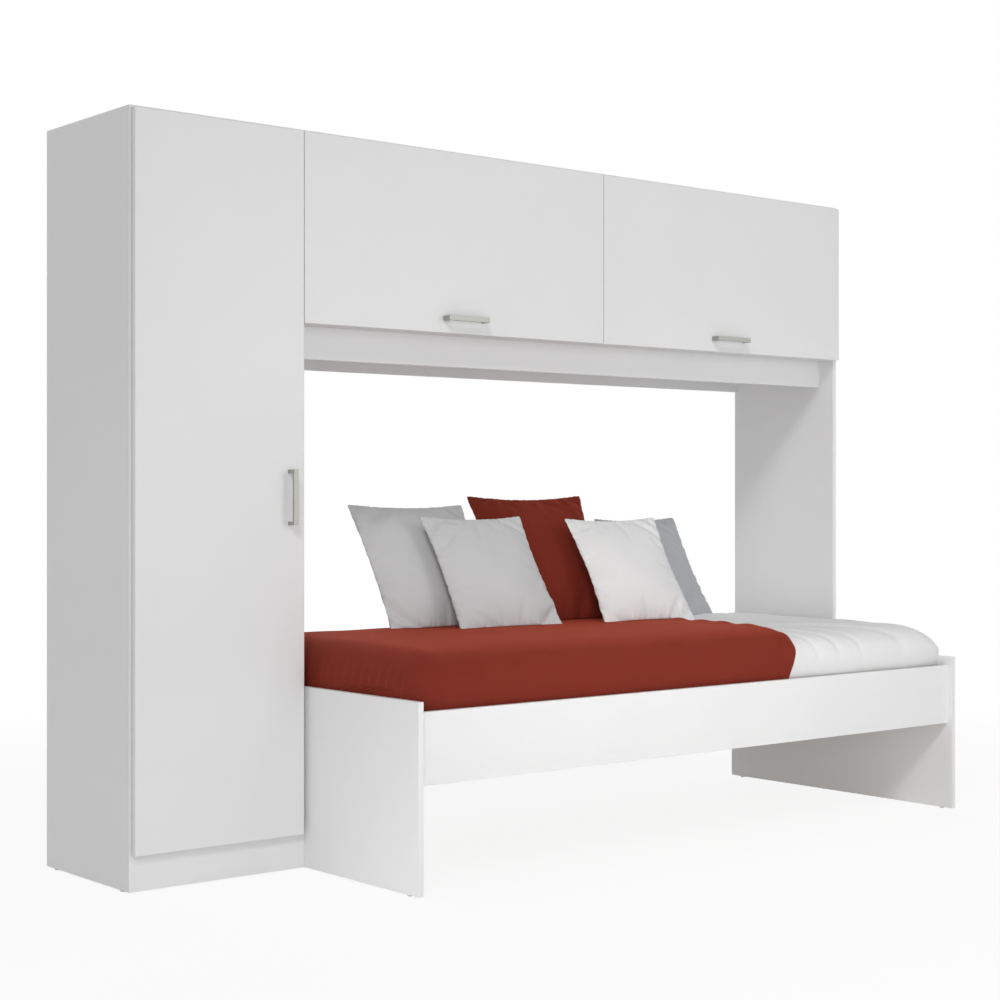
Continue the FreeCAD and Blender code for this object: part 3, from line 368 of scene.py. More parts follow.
# How the mattress block differs from its solid, and how its edges are rounded
SPARE_LENGTH, SPARE_WIDTH, SPARE_HEIGHT, LOWERED = 12 * MM, 8 * MM, 4 * MM, 1.9 * MM
UPRIGHT_ROUND, LYING_ROUND, ROUND_STEPS = 85 * MM, 70 * MM, 8
UPRIGHT_LENGTH, SHARP = 0.1, 1.2


def mattress_piece(bed):
    """Rounded foam block in ticking, just inside the solid it stands for."""
    size = bed.high - bed.low
    block = bmesh.new()
    bmesh.ops.create_cube(block, size=1.0)
    bmesh.ops.scale(block, vec=(size.x - SPARE_LENGTH, size.y - SPARE_WIDTH, size.z - SPARE_HEIGHT),
                    verts=block.verts)
    bmesh.ops.translate(block, vec=(bed.low + bed.high) / 2 - Vector((0, 0, LOWERED)), verts=block.verts)
    upright = [edge for edge in block.edges
               if abs((edge.verts[0].co - edge.verts[1].co).z) > UPRIGHT_LENGTH]
    bmesh.ops.bevel(block, geom=upright, offset=UPRIGHT_ROUND, segments=ROUND_STEPS, affect="EDGES",
                    profile=0.5)
    lying = [edge for edge in block.edges if edge.calc_face_angle(0) > SHARP]
    bmesh.ops.bevel(block, geom=lying, offset=LYING_ROUND, segments=ROUND_STEPS, affect="EDGES",
                    profile=0.5)
    measure = block.loops.layers.uv.new("flat")
    for face in block.faces:
        for loop in face.loops:
            loop[measure].uv = (loop.vert.co.x, loop.vert.co.y + loop.vert.co.z)
    return new_piece("mattress_ticking_block", plain_mesh("mattress_ticking_block", block), "mattress_cloth")


# A cover's section across the bed: how far its walls stand in from the mattress, the height of its top,
# how far its shoulders reach in, and how much its middle rises
Section = namedtuple("Section", "inset top shoulder crown")

# A point's place in a row runs from 0 to 1 up the front, to 2 over the front shoulder, to 3 across the top,
# to 4 over the back shoulder and to 5 down the back
ROW_POINTS = (8, 15, 131, 15, 8)
ROW_END = 5
ACROSS = np.concatenate([np.linspace(k, k + 1, count)[min(k, 1):] for k, count in enumerate(ROW_POINTS)])
TUCK = 9 * MM
FLATNESS, ROUNDNESS = 8, 2.6


def layer_row(bed, x, section, fold):
    """Points across the bed at x, from the tucked front edge over the crown to the tucked back edge."""
    inset, top, shoulder, crown = section
    front, back = bed.low.y + inset, bed.high.y - inset
    belly = min(bed.belly, top - shoulder)
    flat = back - front - 2 * shoulder
    half = (back - front) / 2
    points = np.zeros((len(ACROSS), 3))
    points[:, 0] = x
    for i, t in enumerate(ACROSS):
        in_front = t <= ROW_END / 2
        u = t if in_front else ROW_END - t
        if u <= 1:
            y, z = TUCK * (1 - u) ** 2, bed.bottom + (belly - bed.bottom) * u
        else:
            y = shoulder * (1 - math.cos(math.pi / 2 * (u - 1))) if u <= 2 else shoulder + flat * (u - 2)
            z = belly + (top + crown - belly) * (1 - (1 - y / half) ** FLATNESS) ** (1 / ROUNDNESS)
        share = t - 2
        if 0 <= share <= 1:
            z += fold(x, share)
        points[i, 1:] = (front + y if in_front else back - y, z)
    return points


def no_fold(x, share):
    return 0.0


CAP_SHARES = (0, 0.25, 0.5, 0.7, 0.85, 0.94)
ROLL_STEPS, ROLL_START = 16, 0.04


def cap_rows(bed, row):
    """Rows that close an end: the end section drawn in to the middle of its lower edge."""
    centre = np.array([row[0, 0], (row[0, 1] + row[-1, 1]) / 2, bed.bottom])
    return [centre + (row - centre) * share for share in CAP_SHARES]


def rolled(bed, section, x, length, corner, outward):
    """Rows round an end at x: from the wall of the end, as high as the belly, up to the full section."""
    rows = []
    for k in range(ROLL_STEPS + 1):
        angle = math.pi / 2 * k / ROLL_STEPS
        rise = ROLL_START + (1 - ROLL_START) * math.sin(angle)
        level = bed.belly + (section.top - bed.belly) * rise
        lower = Section(section.inset + corner * (1 - rise), level, min(section.shoulder, level - bed.belly),
                        section.crown * rise)
        rows.append(layer_row(bed, x - outward * length * (1 - math.cos(angle)), lower, no_fold))
    return rows if outward < 0 else rows[::-1]


NO_LENGTH = 1e-9


def grid_normals(grid):
    along = np.gradient(grid, axis=0)
    across = np.gradient(grid, axis=1)
    normal = np.cross(along, across)
    return normal / np.maximum(np.linalg.norm(normal, axis=2, keepdims=True), NO_LENGTH)


COVER_THICKNESS = 2.6 * MM


def under_grid(bed, outer):
    """The lower side of a cover: its own grid drawn in towards the mattress by its thickness."""
    inner = outer - grid_normals(outer) * COVER_THICKNESS
    inner[:, :, 2] = np.maximum(inner[:, :, 2], bed.bottom)
    inner[:, 0, 2] = bed.bottom
    inner[:, -1, 2] = bed.bottom
    return inner


EDGE_BAND = 4 * MM
SAME_POINT = 0.00002


def soft_shell(name, outer, inner, open_right, slot):
    """A closed skin of cloth and filling between two grids of rows, with its flat measure as its UV map."""
    rows, columns = outer.shape[:2]
    steps = np.linalg.norm(np.diff(outer, axis=0), axis=2).mean(axis=1)
    u = np.concatenate([[0], np.cumsum(steps)])
    widths = np.linalg.norm(np.diff(outer, axis=1), axis=2)
    v = np.cumsum(np.concatenate([np.zeros((rows, 1)), widths], 1), axis=1)
    shell = bmesh.new()
    measure = shell.loops.layers.uv.new("flat")
    sides = [[[shell.verts.new(point) for point in row] for row in grid] for grid in (outer, inner)]

    def quad(corners, marks):
        face = shell.faces.new(corners)
        for loop, mark in zip(face.loops, marks):
            loop[measure].uv = mark

    def cell(side, i, j):
        spots = ((i, j), (i + 1, j), (i + 1, j + 1), (i, j + 1))
        quad([side[a][b] for a, b in spots], [(u[a], v[a, b]) for a, b in spots])

    for side in sides:
        for i in range(rows - 1):
            for j in range(columns - 1):
                cell(side, i, j)
    top, under = sides
    for j in (0, columns - 1):
        for i in range(rows - 1):
            marks = [(u[i], v[i, j]), (u[i + 1], v[i, j])]
            marks += [(a, b + EDGE_BAND) for a, b in marks[::-1]]
            quad([top[i][j], top[i + 1][j], under[i + 1][j], under[i][j]], marks)
    if open_right:
        for j in range(columns - 1):
            marks = [(u[-1], v[-1, j]), (u[-1], v[-1, j + 1])]
            marks += [(a + EDGE_BAND, b) for a, b in marks[::-1]]
            quad([top[-1][j], top[-1][j + 1], under[-1][j + 1], under[-1][j]], marks)
    bmesh.ops.remove_doubles(shell, verts=shell.verts, dist=SAME_POINT)
    bmesh.ops.dissolve_degenerate(shell, edges=shell.edges, dist=SAME_POINT)
    bmesh.ops.recalc_face_normals(shell, faces=shell.faces)
    return new_piece(name, plain_mesh(name, shell), slot)


# The duvet's ridge, in shares of the uncovered end's length and of the bed's width
RIDGE_HEIGHT, RIDGE_WIDTH = 20 * MM, 0.16
RIDGE_RISES, RIDGE_FALLS = (0.02, 0.3), (0.55, 0.85)
RIDGE_PLACE, RIDGE_DRIFT = 0.86, 0.17


def duvet_fold(bed):
    """The broad ridge along the back of the uncovered end."""
    def fold(x, share):
        run = (x - bed.edge) / (bed.duvet_right - bed.edge)
        height = RIDGE_HEIGHT * float(smooth_step(*RIDGE_RISES, run) * (1 - smooth_step(*RIDGE_FALLS, run)))
        place = RIDGE_PLACE - RIDGE_DRIFT * max(run, 0)
        return height * math.exp(-((share - place) / RIDGE_WIDTH) ** 2) * math.sin(math.pi * share)
    return fold


# Creases: place along the slant in metres, depth and half width in millimetres
FRONT_CREASES = ((0.07, 5.0, 11), (0.15, 6.5, 14), (0.235, 4.0, 11), (0.36, 6.5, 16), (0.46, 3.5, 12),
                 (0.60, 5.0, 16), (0.71, 3.0, 12))
BACK_CREASES = ((0.16, 3.5, 15), (0.33, 4.5, 18), (0.44, 2.5, 12), (0.61, 4.0, 18))
CREASE_DRIFT, LIP_HEIGHT, LIP_WIDTH = 14 * MM, 0.45, 2.6


def duvet_creases(bed, x, y):
    """Creases that run slantwise over the front shoulder and, more softly, over the back."""
    drift = CREASE_DRIFT * waves(x, y, seed=3, count=4, short=0.25, long=0.6)
    front = 1 - smooth_step(bed.low.y + 0.16, bed.low.y + 0.52, y)
    back = smooth_step(bed.high.y - 0.5, bed.high.y - 0.2, y)
    front_slant = 0.74 * (x - bed.edge) + 0.67 * (y - bed.low.y)
    back_slant = 0.85 * (x - bed.edge) - 0.5 * (y - bed.high.y)
    total = np.zeros_like(x)
    for creases, slant, share in ((FRONT_CREASES, front_slant, front), (BACK_CREASES, back_slant, back)):
        for place, depth, width in creases:
            away = (slant + drift - place) / (width * MM)
            lips = LIP_HEIGHT * np.exp(-(away / LIP_WIDTH) ** 2)
            total += share * depth * MM * (lips - np.exp(-away ** 2))
    return total


UNDER_RED, HIDDEN_ROWS, SHOWN_ROWS = 0.03, 12, 90
SOFT_WAVE, DEEPEST_CREASE = 2.5 * MM, 8 * MM


def white_duvet(bed):
    section = Section(inset=-3.3 * MM, top=bed.high.z + 14.3 * MM, shoulder=76 * MM, crown=6 * MM)
    fold = duvet_fold(bed)
    left = rolled(bed, section, bed.duvet_left, length=80 * MM, corner=75 * MM, outward=-1)
    right = rolled(bed, section, bed.duvet_right, length=130 * MM, corner=16 * MM, outward=1)
    shown = bed.edge - UNDER_RED
    stations = list(np.linspace(left[-1][0, 0], shown, HIDDEN_ROWS)[1:])
    stations += list(np.linspace(shown, right[0][0, 0], SHOWN_ROWS)[1:-1])
    rows = [layer_row(bed, x, section, fold) for x in stations]
    outer = np.array(cap_rows(bed, left[0]) + left + rows + right + cap_rows(bed, right[-1])[::-1])
    x, y, z = outer[:, :, 0], outer[:, :, 1], outer[:, :, 2]
    bare = smooth_step(bed.edge - 0.005, bed.edge + 0.08, x)
    bare *= smooth_step(bed.bottom + 0.03, bed.bottom + 0.08, z)
    lift = SOFT_WAVE * waves(x, y, seed=11, count=7, short=0.12, long=0.4) + duvet_creases(bed, x, y)
    outer += grid_normals(outer) * (bare * np.clip(lift, -DEEPEST_CREASE, DEEPEST_CREASE))[:, :, None]
    outer[:, :, 0] = np.minimum(outer[:, :, 0], bed.duvet_right)
    return soft_shell("duvet_cover", outer, under_grid(bed, outer), False, "white_cloth")


# The bedspread's free edge: how far it rolls over, in how many rows, and how much it thins, draws in
# and flattens
EDGE_ROLL, EDGE_STEPS, EDGE_THINS, EDGE_DRAWS_IN, EDGE_FLATTENS = 16 * MM, 10, 11 * MM, 2 * MM, 3 * MM
SPREAD_ROWS = 120
PLEAT, PLEAT_DEPTH, GENTLE_WAVE = 0.035, 1.9 * MM, 1.3 * MM
RIPPLE, RIPPLE_LIMIT, EDGE_WAVE, FOOT_DRAWS_BACK = 3.0 * MM, 6.5 * MM, 3 * MM, 16 * MM
HEM_ROW, STITCH_LIFT = -12, 0.15 * MM


def red_bedspread(bed):
    """The bedspread, and the line of its hem."""
    section = Section(inset=-7.6 * MM, top=bed.high.z + 28.6 * MM, shoulder=86 * MM, crown=9 * MM)
    left = rolled(bed, section, bed.spread_left, length=95 * MM, corner=80 * MM, outward=-1)
    rows = [layer_row(bed, x, section, no_fold)
            for x in np.linspace(left[-1][0, 0], bed.edge - EDGE_ROLL, SPREAD_ROWS)[1:]]
    for k in range(1, EDGE_STEPS + 1):
        angle = math.pi / 2 * k / EDGE_STEPS
        drop = 1 - math.cos(angle)
        thin = EDGE_THINS * drop
        lower = Section(section.inset + EDGE_DRAWS_IN * drop, section.top - thin,
                        section.shoulder - thin / 2, section.crown - EDGE_FLATTENS * drop)
        rows.append(layer_row(bed, bed.edge - EDGE_ROLL * (1 - math.sin(angle)), lower, no_fold))
    outer = np.array(cap_rows(bed, left[0]) + left + rows)
    # These are views, so they follow the points as they move
    x, y, z = outer[:, :, 0], outer[:, :, 1], outer[:, :, 2]
    free = smooth_step(bed.bottom + 0.02, bed.bottom + 0.09, z)
    calm = GENTLE_WAVE * waves(x, y, seed=5, count=8, short=0.18, long=0.5)
    near_left = 1 - smooth_step(bed.spread_left + 0.02, bed.spread_left + 0.07, x)
    low = near_left * (1 - smooth_step(bed.belly + 0.005, bed.belly + 0.075, z))
    pleats = np.sin(2 * math.pi * y / PLEAT + 1.7 * waves(y, y, seed=8, count=3, short=0.1, long=0.3))
    uneven = np.clip(0.45 + 0.4 * waves(y, y, seed=9, count=3, short=0.12, long=0.4), 0, 1)
    drape = PLEAT_DEPTH * low * pleats * uneven
    ripple = RIPPLE * (1 + waves(y + z, y - z, seed=31, count=5, short=0.07, long=0.2))
    ripple *= smooth_step(bed.edge - 0.09, bed.edge, x)
    outer += grid_normals(outer) * (free * (calm + np.clip(ripple, 0, RIPPLE_LIMIT)) + drape)[:, :, None]
    ends = smooth_step(bed.edge - 0.05, bed.edge, x)
    swing = 1 + waves(y + z, y - z, seed=21, count=4, short=0.08, long=0.25)
    outer[:, :, 0] -= ends * EDGE_WAVE * swing / 2
    foot = 1 - smooth_step(bed.bottom, bed.belly + 0.02, z)
    outer[:, :, 0] -= smooth_step(bed.edge - 0.12, bed.edge, x) * FOOT_DRAWS_BACK * foot
    hem = (outer + grid_normals(outer) * STITCH_LIFT)[HEM_ROW]
    return soft_shell("bedspread", outer, under_grid(bed, outer), True, "red_cloth"), hem


# Stitches

class Nodes:
    """A tree of geometry nodes whose nodes are added by kind, settings and sockets."""

    def __init__(self, name):
        self.tree = bpy.data.node_groups.new(name, "GeometryNodeTree")

    def entry(self, name, kind):
        socket = self.tree.interface.new_socket(name, in_out="INPUT", socket_type="NodeSocket" + kind)
        return socket.identifier

    def node(self, kind, settings=None, sockets=None):
        node = self.tree.nodes.new(kind)
        for key, setting in (settings or {}).items():
            setattr(node, key, setting)
        for key, term in (sockets or {}).items():
            if isinstance(term, bpy.types.NodeSocket):
                self.tree.links.new(term, node.inputs[key])
            else:
                node.inputs[key].default_value = term
        return node


def stitch_row(name, path, pitch, length, thick, finish):
    """A row of stitches along a path of points, as one plain mesh."""
    curve = bpy.data.curves.new(name, "CURVE")
    curve.dimensions = "3D"
    run = curve.splines.new("POLY")
    run.points.add(len(path) - 1)
    for point, place in zip(run.points, path):
        point.co = (*place, 1)
    line = add_object(name, curve)
    sewing = Nodes("stitches")
    sewing.entry("Path", "Geometry")
    sizes = {sewing.entry("Pitch", "Float"): pitch, sewing.entry("Length", "Float"): length,
             sewing.entry("Thickness", "Float"): thick}
    thread = sewing.entry("Thread", "Material")
    sewing.tree.interface.new_socket("Stitches", in_out="OUTPUT", socket_type="NodeSocketGeometry")
    given = sewing.node("NodeGroupInput").outputs
    even = sewing.node("GeometryNodeResampleCurve", {"mode": "LENGTH"},
                       {"Curve": given["Path"], "Length": given["Pitch"]})
    along = sewing.node("FunctionNodeAlignRotationToVector", {"axis": "X"},
                        {"Vector": sewing.node("GeometryNodeInputTangent").outputs[0]})
    bead = sewing.node("GeometryNodeMeshIcoSphere", None, {"Radius": 0.5, "Subdivisions": 2})
    shape = sewing.node("ShaderNodeCombineXYZ", None,
                        {"X": given["Length"], "Y": given["Thickness"], "Z": given["Thickness"]})
    laid = sewing.node("GeometryNodeInstanceOnPoints", None,
                       {"Points": even.outputs[0], "Instance": bead.outputs[0], "Rotation": along.outputs[0],
                        "Scale": shape.outputs[0]})
    real = sewing.node("GeometryNodeRealizeInstances", None, {0: laid.outputs[0]})
    dressed = sewing.node("GeometryNodeSetMaterial", None,
                          {"Geometry": real.outputs[0], "Material": given["Thread"]})
    sewing.node("NodeGroupOutput", None, {0: dressed.outputs[0]})
    modifier = line.modifiers.new("sewing", "NODES")
    modifier.node_group = sewing.tree
    for key, size in sizes.items():
        modifier[key] = size
    modifier[thread] = finish
    mesh = outcome(line)
    line.modifiers.clear()
    bpy.data.objects.remove(line)
    piece = add_object(name, mesh)
    smooth_faces(mesh)
    return piece


# Cushions

CUSHIONS = {
    # node: width, height, how much taller its cover is than the solid, lean and turn in degrees, slot
    "large_grey_cushion": (429, 421, 8, 32.4, -1.8, "grey_cloth"),
    "small_grey_cushion": (381, 371, 16, 33.0, -2.7, "grey_cloth"),
    "red_cushion": (445, 439, 2, 28.4, -4.8, "red_cloth"),
    "white_cushion": (371, 365, 8, 32.1, -3.1, "white_cloth"),
    "blue_grey_cushion": (371, 365, 10, 30.5, 0.8, "blue_grey_cloth"),
}
# The cover as it is cut and laid out, with its back panel beside the front one in the flat measure
CELLS = 64
DRAWN_IN, FOOT_DRAWN_IN = 0.034, 0.012
CORNER_REACH, CORNER_PULL = 0.12, 4 * MM
LAID_HEIGHT, LAID_RIPPLE, LAID_WAVES = 12 * MM, 0.5 * MM, 10
BACK_PANEL, PANEL_GAP = 0.6, 0.05
FIRST_SEED = 40
SEAM_CELLS = 3


def cut_point(a, b, width, height):
    """A point of a flat cover: sides drawn in between rounded corners, and least drawn in at the foot."""
    drawn = FOOT_DRAWN_IN if b < 0 else DRAWN_IN
    x = a * width / 2 - math.copysign(DRAWN_IN * width * (1 - b * b) * abs(a) ** 3, a)
    y = b * height / 2 - math.copysign(drawn * height * (1 - a * a) * abs(b) ** 3, b)
    near = [max(0, (abs(share) - 1) / CORNER_REACH + 1) for share in (a, b)]
    pull = CORNER_PULL * near[0] ** 2 * near[1] ** 2
    return x - math.copysign(pull, a), y - math.copysign(pull, b)


def sewn_cover(name, width, height, seed):
    """Two squares of cloth sewn together and laid almost flat, the seam's points, and each point's side."""
    cover = bmesh.new()
    measure = cover.loops.layers.uv.new("flat")
    source = np.random.default_rng(seed)
    tilt = source.uniform(-1, 1, LAID_WAVES)
    points = {}
    for side in (1, -1):
        for i in range(CELLS + 1):
            for j in range(CELLS + 1):
                seam = i in (0, CELLS) or j in (0, CELLS)
                if seam and side < 0:
                    points[side, i, j] = points[1, i, j]
                    continue
                a, b = 2 * i / CELLS - 1, 2 * j / CELLS - 1
                bulge = (1 - a * a) * (1 - b * b)
                ripple = sum(tilt[k] * math.sin((2 * k + 3) * (a + 1.7 * b) + side)
                             for k in range(LAID_WAVES))
                z = 0 if seam else side * bulge * LAID_HEIGHT + ripple * LAID_RIPPLE * bulge
                points[side, i, j] = cover.verts.new((*cut_point(a, b, width, height), z))
        for i in range(CELLS):
            for j in range(CELLS):
                spots = [(i, j), (i + 1, j), (i + 1, j + 1), (i, j + 1)][::side]
                face = cover.faces.new([points[side, a, b] for a, b in spots])
                for loop, (a, b) in zip(face.loops, spots):
                    v = b * height / CELLS + (0 if side > 0 else BACK_PANEL)
                    loop[measure].uv = (a * width / CELLS, v)
    cover.verts.index_update()
    round_the_edge = ([(i, 0) for i in range(CELLS)] + [(CELLS, j) for j in range(CELLS)]
                      + [(i, CELLS) for i in range(CELLS, 0, -1)] + [(0, j) for j in range(CELLS, 0, -1)])
    seam = [points[1, i, j].index for i, j in round_the_edge]
    face_of = np.zeros(len(cover.verts))
    for (side, i, j), vert in points.items():
        depth = min(i, j, CELLS - i, CELLS - j)
        face_of[vert.index] = side * min(depth / SEAM_CELLS, 1)
    return plain_mesh(name, cover), seam, face_of


FILLING = {
    "vertex_group_mass": "seam",
    "quality": 6,
    "mass": 0.25,
    "tension_stiffness": 15,
    "compression_stiffness": 15,
    "shear_stiffness": 5,
    "bending_stiffness": 0.4,
    "air_damping": 5,
    "shrink_min": -0.026,
    "use_pressure": True,
    "uniform_pressure_force": 2.4,
}
FRAMES, QUICK_FRAMES = 26, 6


def blow_up(piece, seam, frames):
    """Fills a cover by a short cloth simulation that holds its seam, and keeps the result."""
    scene = bpy.context.scene
    piece.vertex_groups.new(name="seam").add(seam, 1.0, "REPLACE")
    cloth = piece.modifiers.new("filling", "CLOTH")
    for key, setting in FILLING.items():
        setattr(cloth.settings, key, setting)
    cloth.settings.effector_weights.gravity = 0
    cloth.point_cache.frame_start = 1
    cloth.point_cache.frame_end = frames
    for step in range(1, frames + 1):
        scene.frame_set(step)
    filled = outcome(piece)
    piece.modifiers.clear()
    piece.vertex_groups.clear()
    scene.frame_set(1)
    piece.data = filled


# How full a cushion is for its width, how blunt its edges are, and how much blunter at the foot
FULLNESS, EDGE_POWER, FOOT_POWER = 0.235, 0.8, 0.18
FOOT_SHARE, LEAST_DEPTH = 0.1, 0.6 * MM
CALM_SHARE, CALMING = 0.5, 5


def shape_faces(piece, face_of, width, height):
    """Gives a filled cover its depth, keeps its two faces apart, and calms and refines them."""
    points = get_points(piece)
    least = LEAST_DEPTH * np.abs(face_of)
    points[:, 2] = np.where(face_of > 0, np.maximum(points[:, 2], least), np.minimum(points[:, 2], -least))
    points[:, 2] /= np.abs(points[:, 2]).max()
    low_down = 1 - smooth_step(-height / 2, FOOT_SHARE * height, points[:, 1])
    points[:, 2] = np.sign(points[:, 2]) * np.abs(points[:, 2]) ** (EDGE_POWER - FOOT_POWER * low_down)
    points[:, 2] *= FULLNESS * width / (points[:, 2].max() - points[:, 2].min())
    set_points(piece, points)
    calm = piece.modifiers.new("calm", "SMOOTH")
    calm.factor, calm.iterations = CALM_SHARE, CALMING
    calm.use_x = calm.use_y = False
    finer = piece.modifiers.new("finer", "SUBSURF")
    finer.levels = finer.render_levels = 1
    finer.uv_smooth = "NONE"
    smooth = outcome(piece)
    piece.modifiers.clear()
    piece.data = smooth


# Puckers: their pitch and that of a second, wider row, how far they reach, and their depth at sides and ends
PUCKER, WIDER = 20 * MM, 1.62
SCALLOP_REACH, WRINKLE_REACH, WRINKLE_HEIGHT = 7 * MM, 11 * MM, 0.9 * MM
SIDE_SCALLOP, END_SCALLOP = 2.6 * MM, 1.5 * MM
CORNER_CALM = 8


def gather(piece, width, height, phase):
    """Puckers along the seam: the sides scallop, and short wrinkles run from the seam into both faces."""
    mesh = piece.data
    flat = np.zeros((len(mesh.vertices), 2))
    layer = mesh.uv_layers["flat"].data
    for loop in mesh.loops:
        u, v = layer[loop.index].uv
        flat[loop.vertex_index] = (u, v - BACK_PANEL if v > BACK_PANEL - PANEL_GAP else v)
    a, b = 2 * flat[:, 0] / width - 1, 2 * flat[:, 1] / height - 1
    points = get_points(piece)
    side = np.sign(points[:, 2])
    for axis, share, across, run, depth in ((0, a, b, width, SIDE_SCALLOP), (1, b, a, height, END_SCALLOP)):
        off = (1 - np.abs(share)) * run / 2
        turns = 2 * math.pi * points[:, 1 - axis] / PUCKER
        pleat = np.cos(turns + phase + axis + (share > 0)) + 0.5 * np.cos(turns / WIDER + 2 * phase)
        ends = 1 - np.abs(across) ** CORNER_CALM
        scallop = depth * (0.5 + 0.5 * pleat) * np.exp(-off / SCALLOP_REACH)
        points[:, axis] -= np.sign(share) * scallop * ends
        ridge = off / WRINKLE_REACH * np.exp(1 - off / WRINKLE_REACH)
        points[:, 2] += side * WRINKLE_HEIGHT * pleat * ridge * ends
    set_points(piece, points)


# How far a cushion is let down, how softly its foot spreads, and which points are too high for the bedding
SINK, SOFT_FOOT, FOOT_GAP = 14 * MM, 2.5 * MM, 0.5 * MM
CLEAR_HEIGHT, CLEAR_STEPS, OVERHEAD = 0.70, 8, 1.0


def settle(points, beds):
    """Lets a cushion down a little into its place, so that its foot spreads on the bedding under it."""
    points[:, 2] -= SINK
    for point in points:
        if point[2] > CLEAR_HEIGHT:
            continue
        hits = [bed.ray_cast(Vector((point[0], point[1], OVERHEAD)), Vector((0, 0, -1)))[0] for bed in beds]
        under = max((hit.z for hit in hits if hit), default=0)
        height = (point[2] - under) / SOFT_FOOT
        if height < CLEAR_STEPS:
            point[2] = under + FOOT_GAP + SOFT_FOOT * math.log1p(math.exp(height))


LAZY_WAVE, WAVE_X, WAVE_Y = 2 * MM, 9, 14


def cushion(node, index, beds):
    width, height, rise, lean, turn, slot = CUSHIONS[node]
    width, height, spare = width * MM, height * MM, rise * MM + SINK
    mesh, seam, face_of = sewn_cover(node, width, height + spare, FIRST_SEED + index)
    piece = new_piece(node.replace("_cushion", "_throw_cushion"), mesh, slot)
    blow_up(piece, seam, FRAMES)
    shape_faces(piece, face_of, width, height)
    gather(piece, width, height + spare, index)
    points = get_points(piece)
    points[:, 2] += LAZY_WAVE * np.sin(WAVE_X * points[:, 0] + WAVE_Y * points[:, 1] + index)
    set_points(piece, points)
    low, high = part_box(node)
    turned = Euler((0, 0, math.radians(turn))).to_matrix()
    slant = turned @ Euler((math.radians(90 - lean), 0, 0)).to_matrix()
    up = slant @ Vector((0, spare / 2, 0))
    piece.data.transform(Matrix.Translation((low + high) / 2 + up) @ slant.to_4x4())
    points = get_points(piece)
    settle(points, beds)
    set_points(piece, points)
    smooth_faces(piece.data)
    return piece


def seat_on(piece, body, node):
    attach(piece, body)
    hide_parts(node)


# Stage

LENS, SENSOR, SHIFT = 68.45, 36, -0.002
EYE = (-3.5744, -4.1397, 0.9704)
LOOK_X, LOOK_Y = 0.63665, 0.77115
AMBIENT = 0.34
FLOOR_REACH = 30
# The floor glows evenly to the eye from the far distance on, and keeps a little of its shading near the bed
NEAR, FAR, NEAR_GLOW = 1.6, 4.2, 0.88


def camera():
    view = bpy.data.cameras.new("view")
    view.lens = LENS
    view.sensor_width = SENSOR
    view.shift_y = SHIFT
    eye = add_object("view", view)
    eye.location = EYE
    eye.rotation_euler = (math.pi / 2, 0, -math.atan2(LOOK_X, LOOK_Y))
    bpy.context.scene.camera = eye


def seen_directly(finish):
    """1 for rays from the eye, from gloss and through glass, else 0."""
    path = finish.node("LightPath")
    rays = [Value(finish.tree, path.socket.node.outputs[name])
            for name in ("Is Camera Ray", "Is Glossy Ray", "Is Transmission Ray")]
    return rays[0].larger(rays[1]).larger(rays[2])


class Surround(Finish):
    """The world's own nodes, with its background as the shader."""

    def __init__(self, world):
        world.use_nodes = True
        self.tree = world.node_tree
        self.shader = self.tree.nodes["Background"]


def surround():
    world = bpy.data.worlds.new("studio")
    bpy.context.scene.world = world
    sky = Surround(world)
    direct = seen_directly(sky)
    sky.set(color=(1, 1, 1, 1), strength=AMBIENT + (1 - AMBIENT) * direct)


def floor():
    mesh = bpy.data.meshes.new("floor")
    corners = [(x * FLOOR_REACH, y * FLOOR_REACH, 0) for x, y in ((-1, -1), (1, -1), (1, 1), (-1, 1))]
    mesh.from_pydata(corners, [], [(0, 1, 2, 3)])
    ground = add_object("floor", mesh)
    finish = Finish("pale_floor", base_color=(0.9, 0.9, 0.9, 1), roughness=0.9)
    glow = finish.node("Emission", None, {"Color": (1, 1, 1, 1), "Strength": 1.0})
    mixed = finish.tree.nodes.new("ShaderNodeMixShader")
    away = finish.node("VectorMath", {"operation": "LENGTH"}, {0: finish.place()}, "Value")
    fading = finish.node("MapRange", {"interpolation_type": "SMOOTHSTEP"},
                         {"Value": away, "From Min": NEAR, "From Max": FAR, "To Min": NEAR_GLOW,
                          "To Max": 1.0})
    plug(finish.tree, mixed.inputs[0], seen_directly(finish) * fading)
    finish.tree.links.new(finish.shader.outputs[0], mixed.inputs[1])
    finish.tree.links.new(glow.socket, mixed.inputs[2])
    finish.tree.links.new(mixed.outputs[0], finish.tree.nodes["Material Output"].inputs["Surface"])
    mesh.materials.append(finish.material)


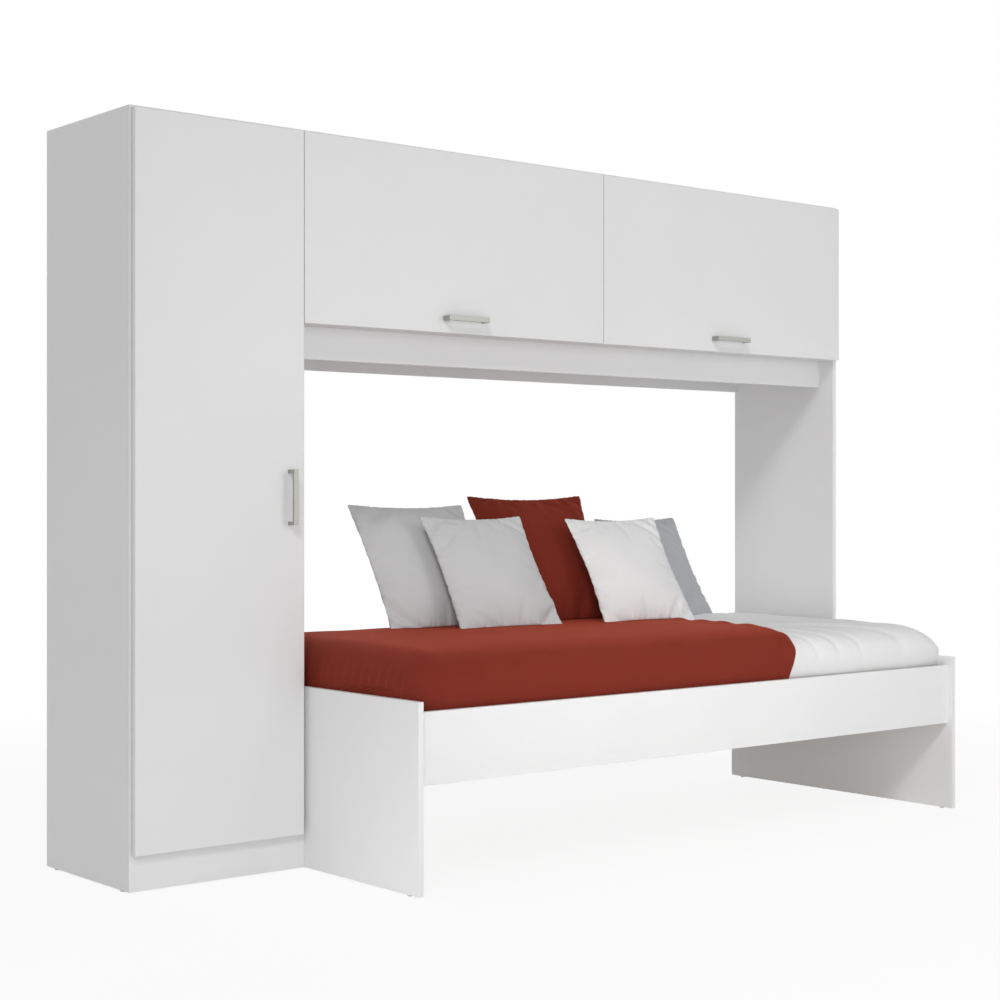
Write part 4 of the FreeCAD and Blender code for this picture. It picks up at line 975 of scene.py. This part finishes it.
def lamp(name, kind, place, aim, strength, spread, beam=180):
    """A sun with its spread in degrees, or a soft box with its side in metres and its beam in degrees."""
    light = bpy.data.lights.new(name, kind)
    light.energy = strength
    if kind == "SUN":
        light.angle = math.radians(spread)
    else:
        light.size = spread
        light.spread = math.radians(beam)
    piece = add_object(name, light)
    piece.location = place
    piece.rotation_euler = (Vector(aim) - Vector(place)).to_track_quat("-Z", "Y").to_euler()
    piece.visible_camera = False


def lights():
    surround()
    middle = (0.2, 0, 0.7)
    lamp("left_window", "SUN", (-5.4, -5.4, 6.43), (0, 0, 0), strength=0.80, spread=12)
    lamp("left_soft_box", "AREA", (-1.6, -2.6, 0.5), middle, strength=11.5, spread=1.2)
    lamp("right_soft_box", "AREA", (0.8, -3.0, 1.8), middle, strength=20, spread=1.5)
    lamp("bay_soft_box", "AREA", (-2.6, -2.4, 0.6), (0.9, 0.1, 0.55), strength=1.0, spread=0.8, beam=28)
    lamp("back_fill", "SUN", (2.0, 3.2, 2.2), (0, 0, 0), strength=0.4, spread=50)
    lamp("end_soft_box", "AREA", (-3.4, -0.8, 0.25), (-0.78, -0.45, 0.05), strength=0.17, spread=0.25,
         beam=22)


STITCH_PITCH, STITCH_LENGTH, STITCH_THICKNESS = 4.2 * MM, 3.0 * MM, 0.7 * MM


def main():
    bpy.context.scene.view_settings.view_transform = "Standard"
    camera()
    lights()
    floor()
    dress_boards()
    bed = Bedding()
    seat_on(mattress_piece(bed), "carcass", "mattress")
    duvet = white_duvet(bed)
    spread, hem = red_bedspread(bed)
    graph = bpy.context.evaluated_depsgraph_get()
    beds = [BVHTree.FromObject(duvet, graph), BVHTree.FromObject(spread, graph)]
    seat_on(duvet, "carcass", "white_duvet")
    seat_on(spread, "carcass", "red_bedspread")
    stitches = stitch_row("bedspread_hem_stitches", hem, STITCH_PITCH, STITCH_LENGTH, STITCH_THICKNESS,
                          sewing_thread("red_sewing_thread", (0.21, 0.03, 0.016)))
    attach(stitches, "carcass")
    for index, node in enumerate(CUSHIONS):
        seat_on(cushion(node, index, beds), "carcass", node)


main()
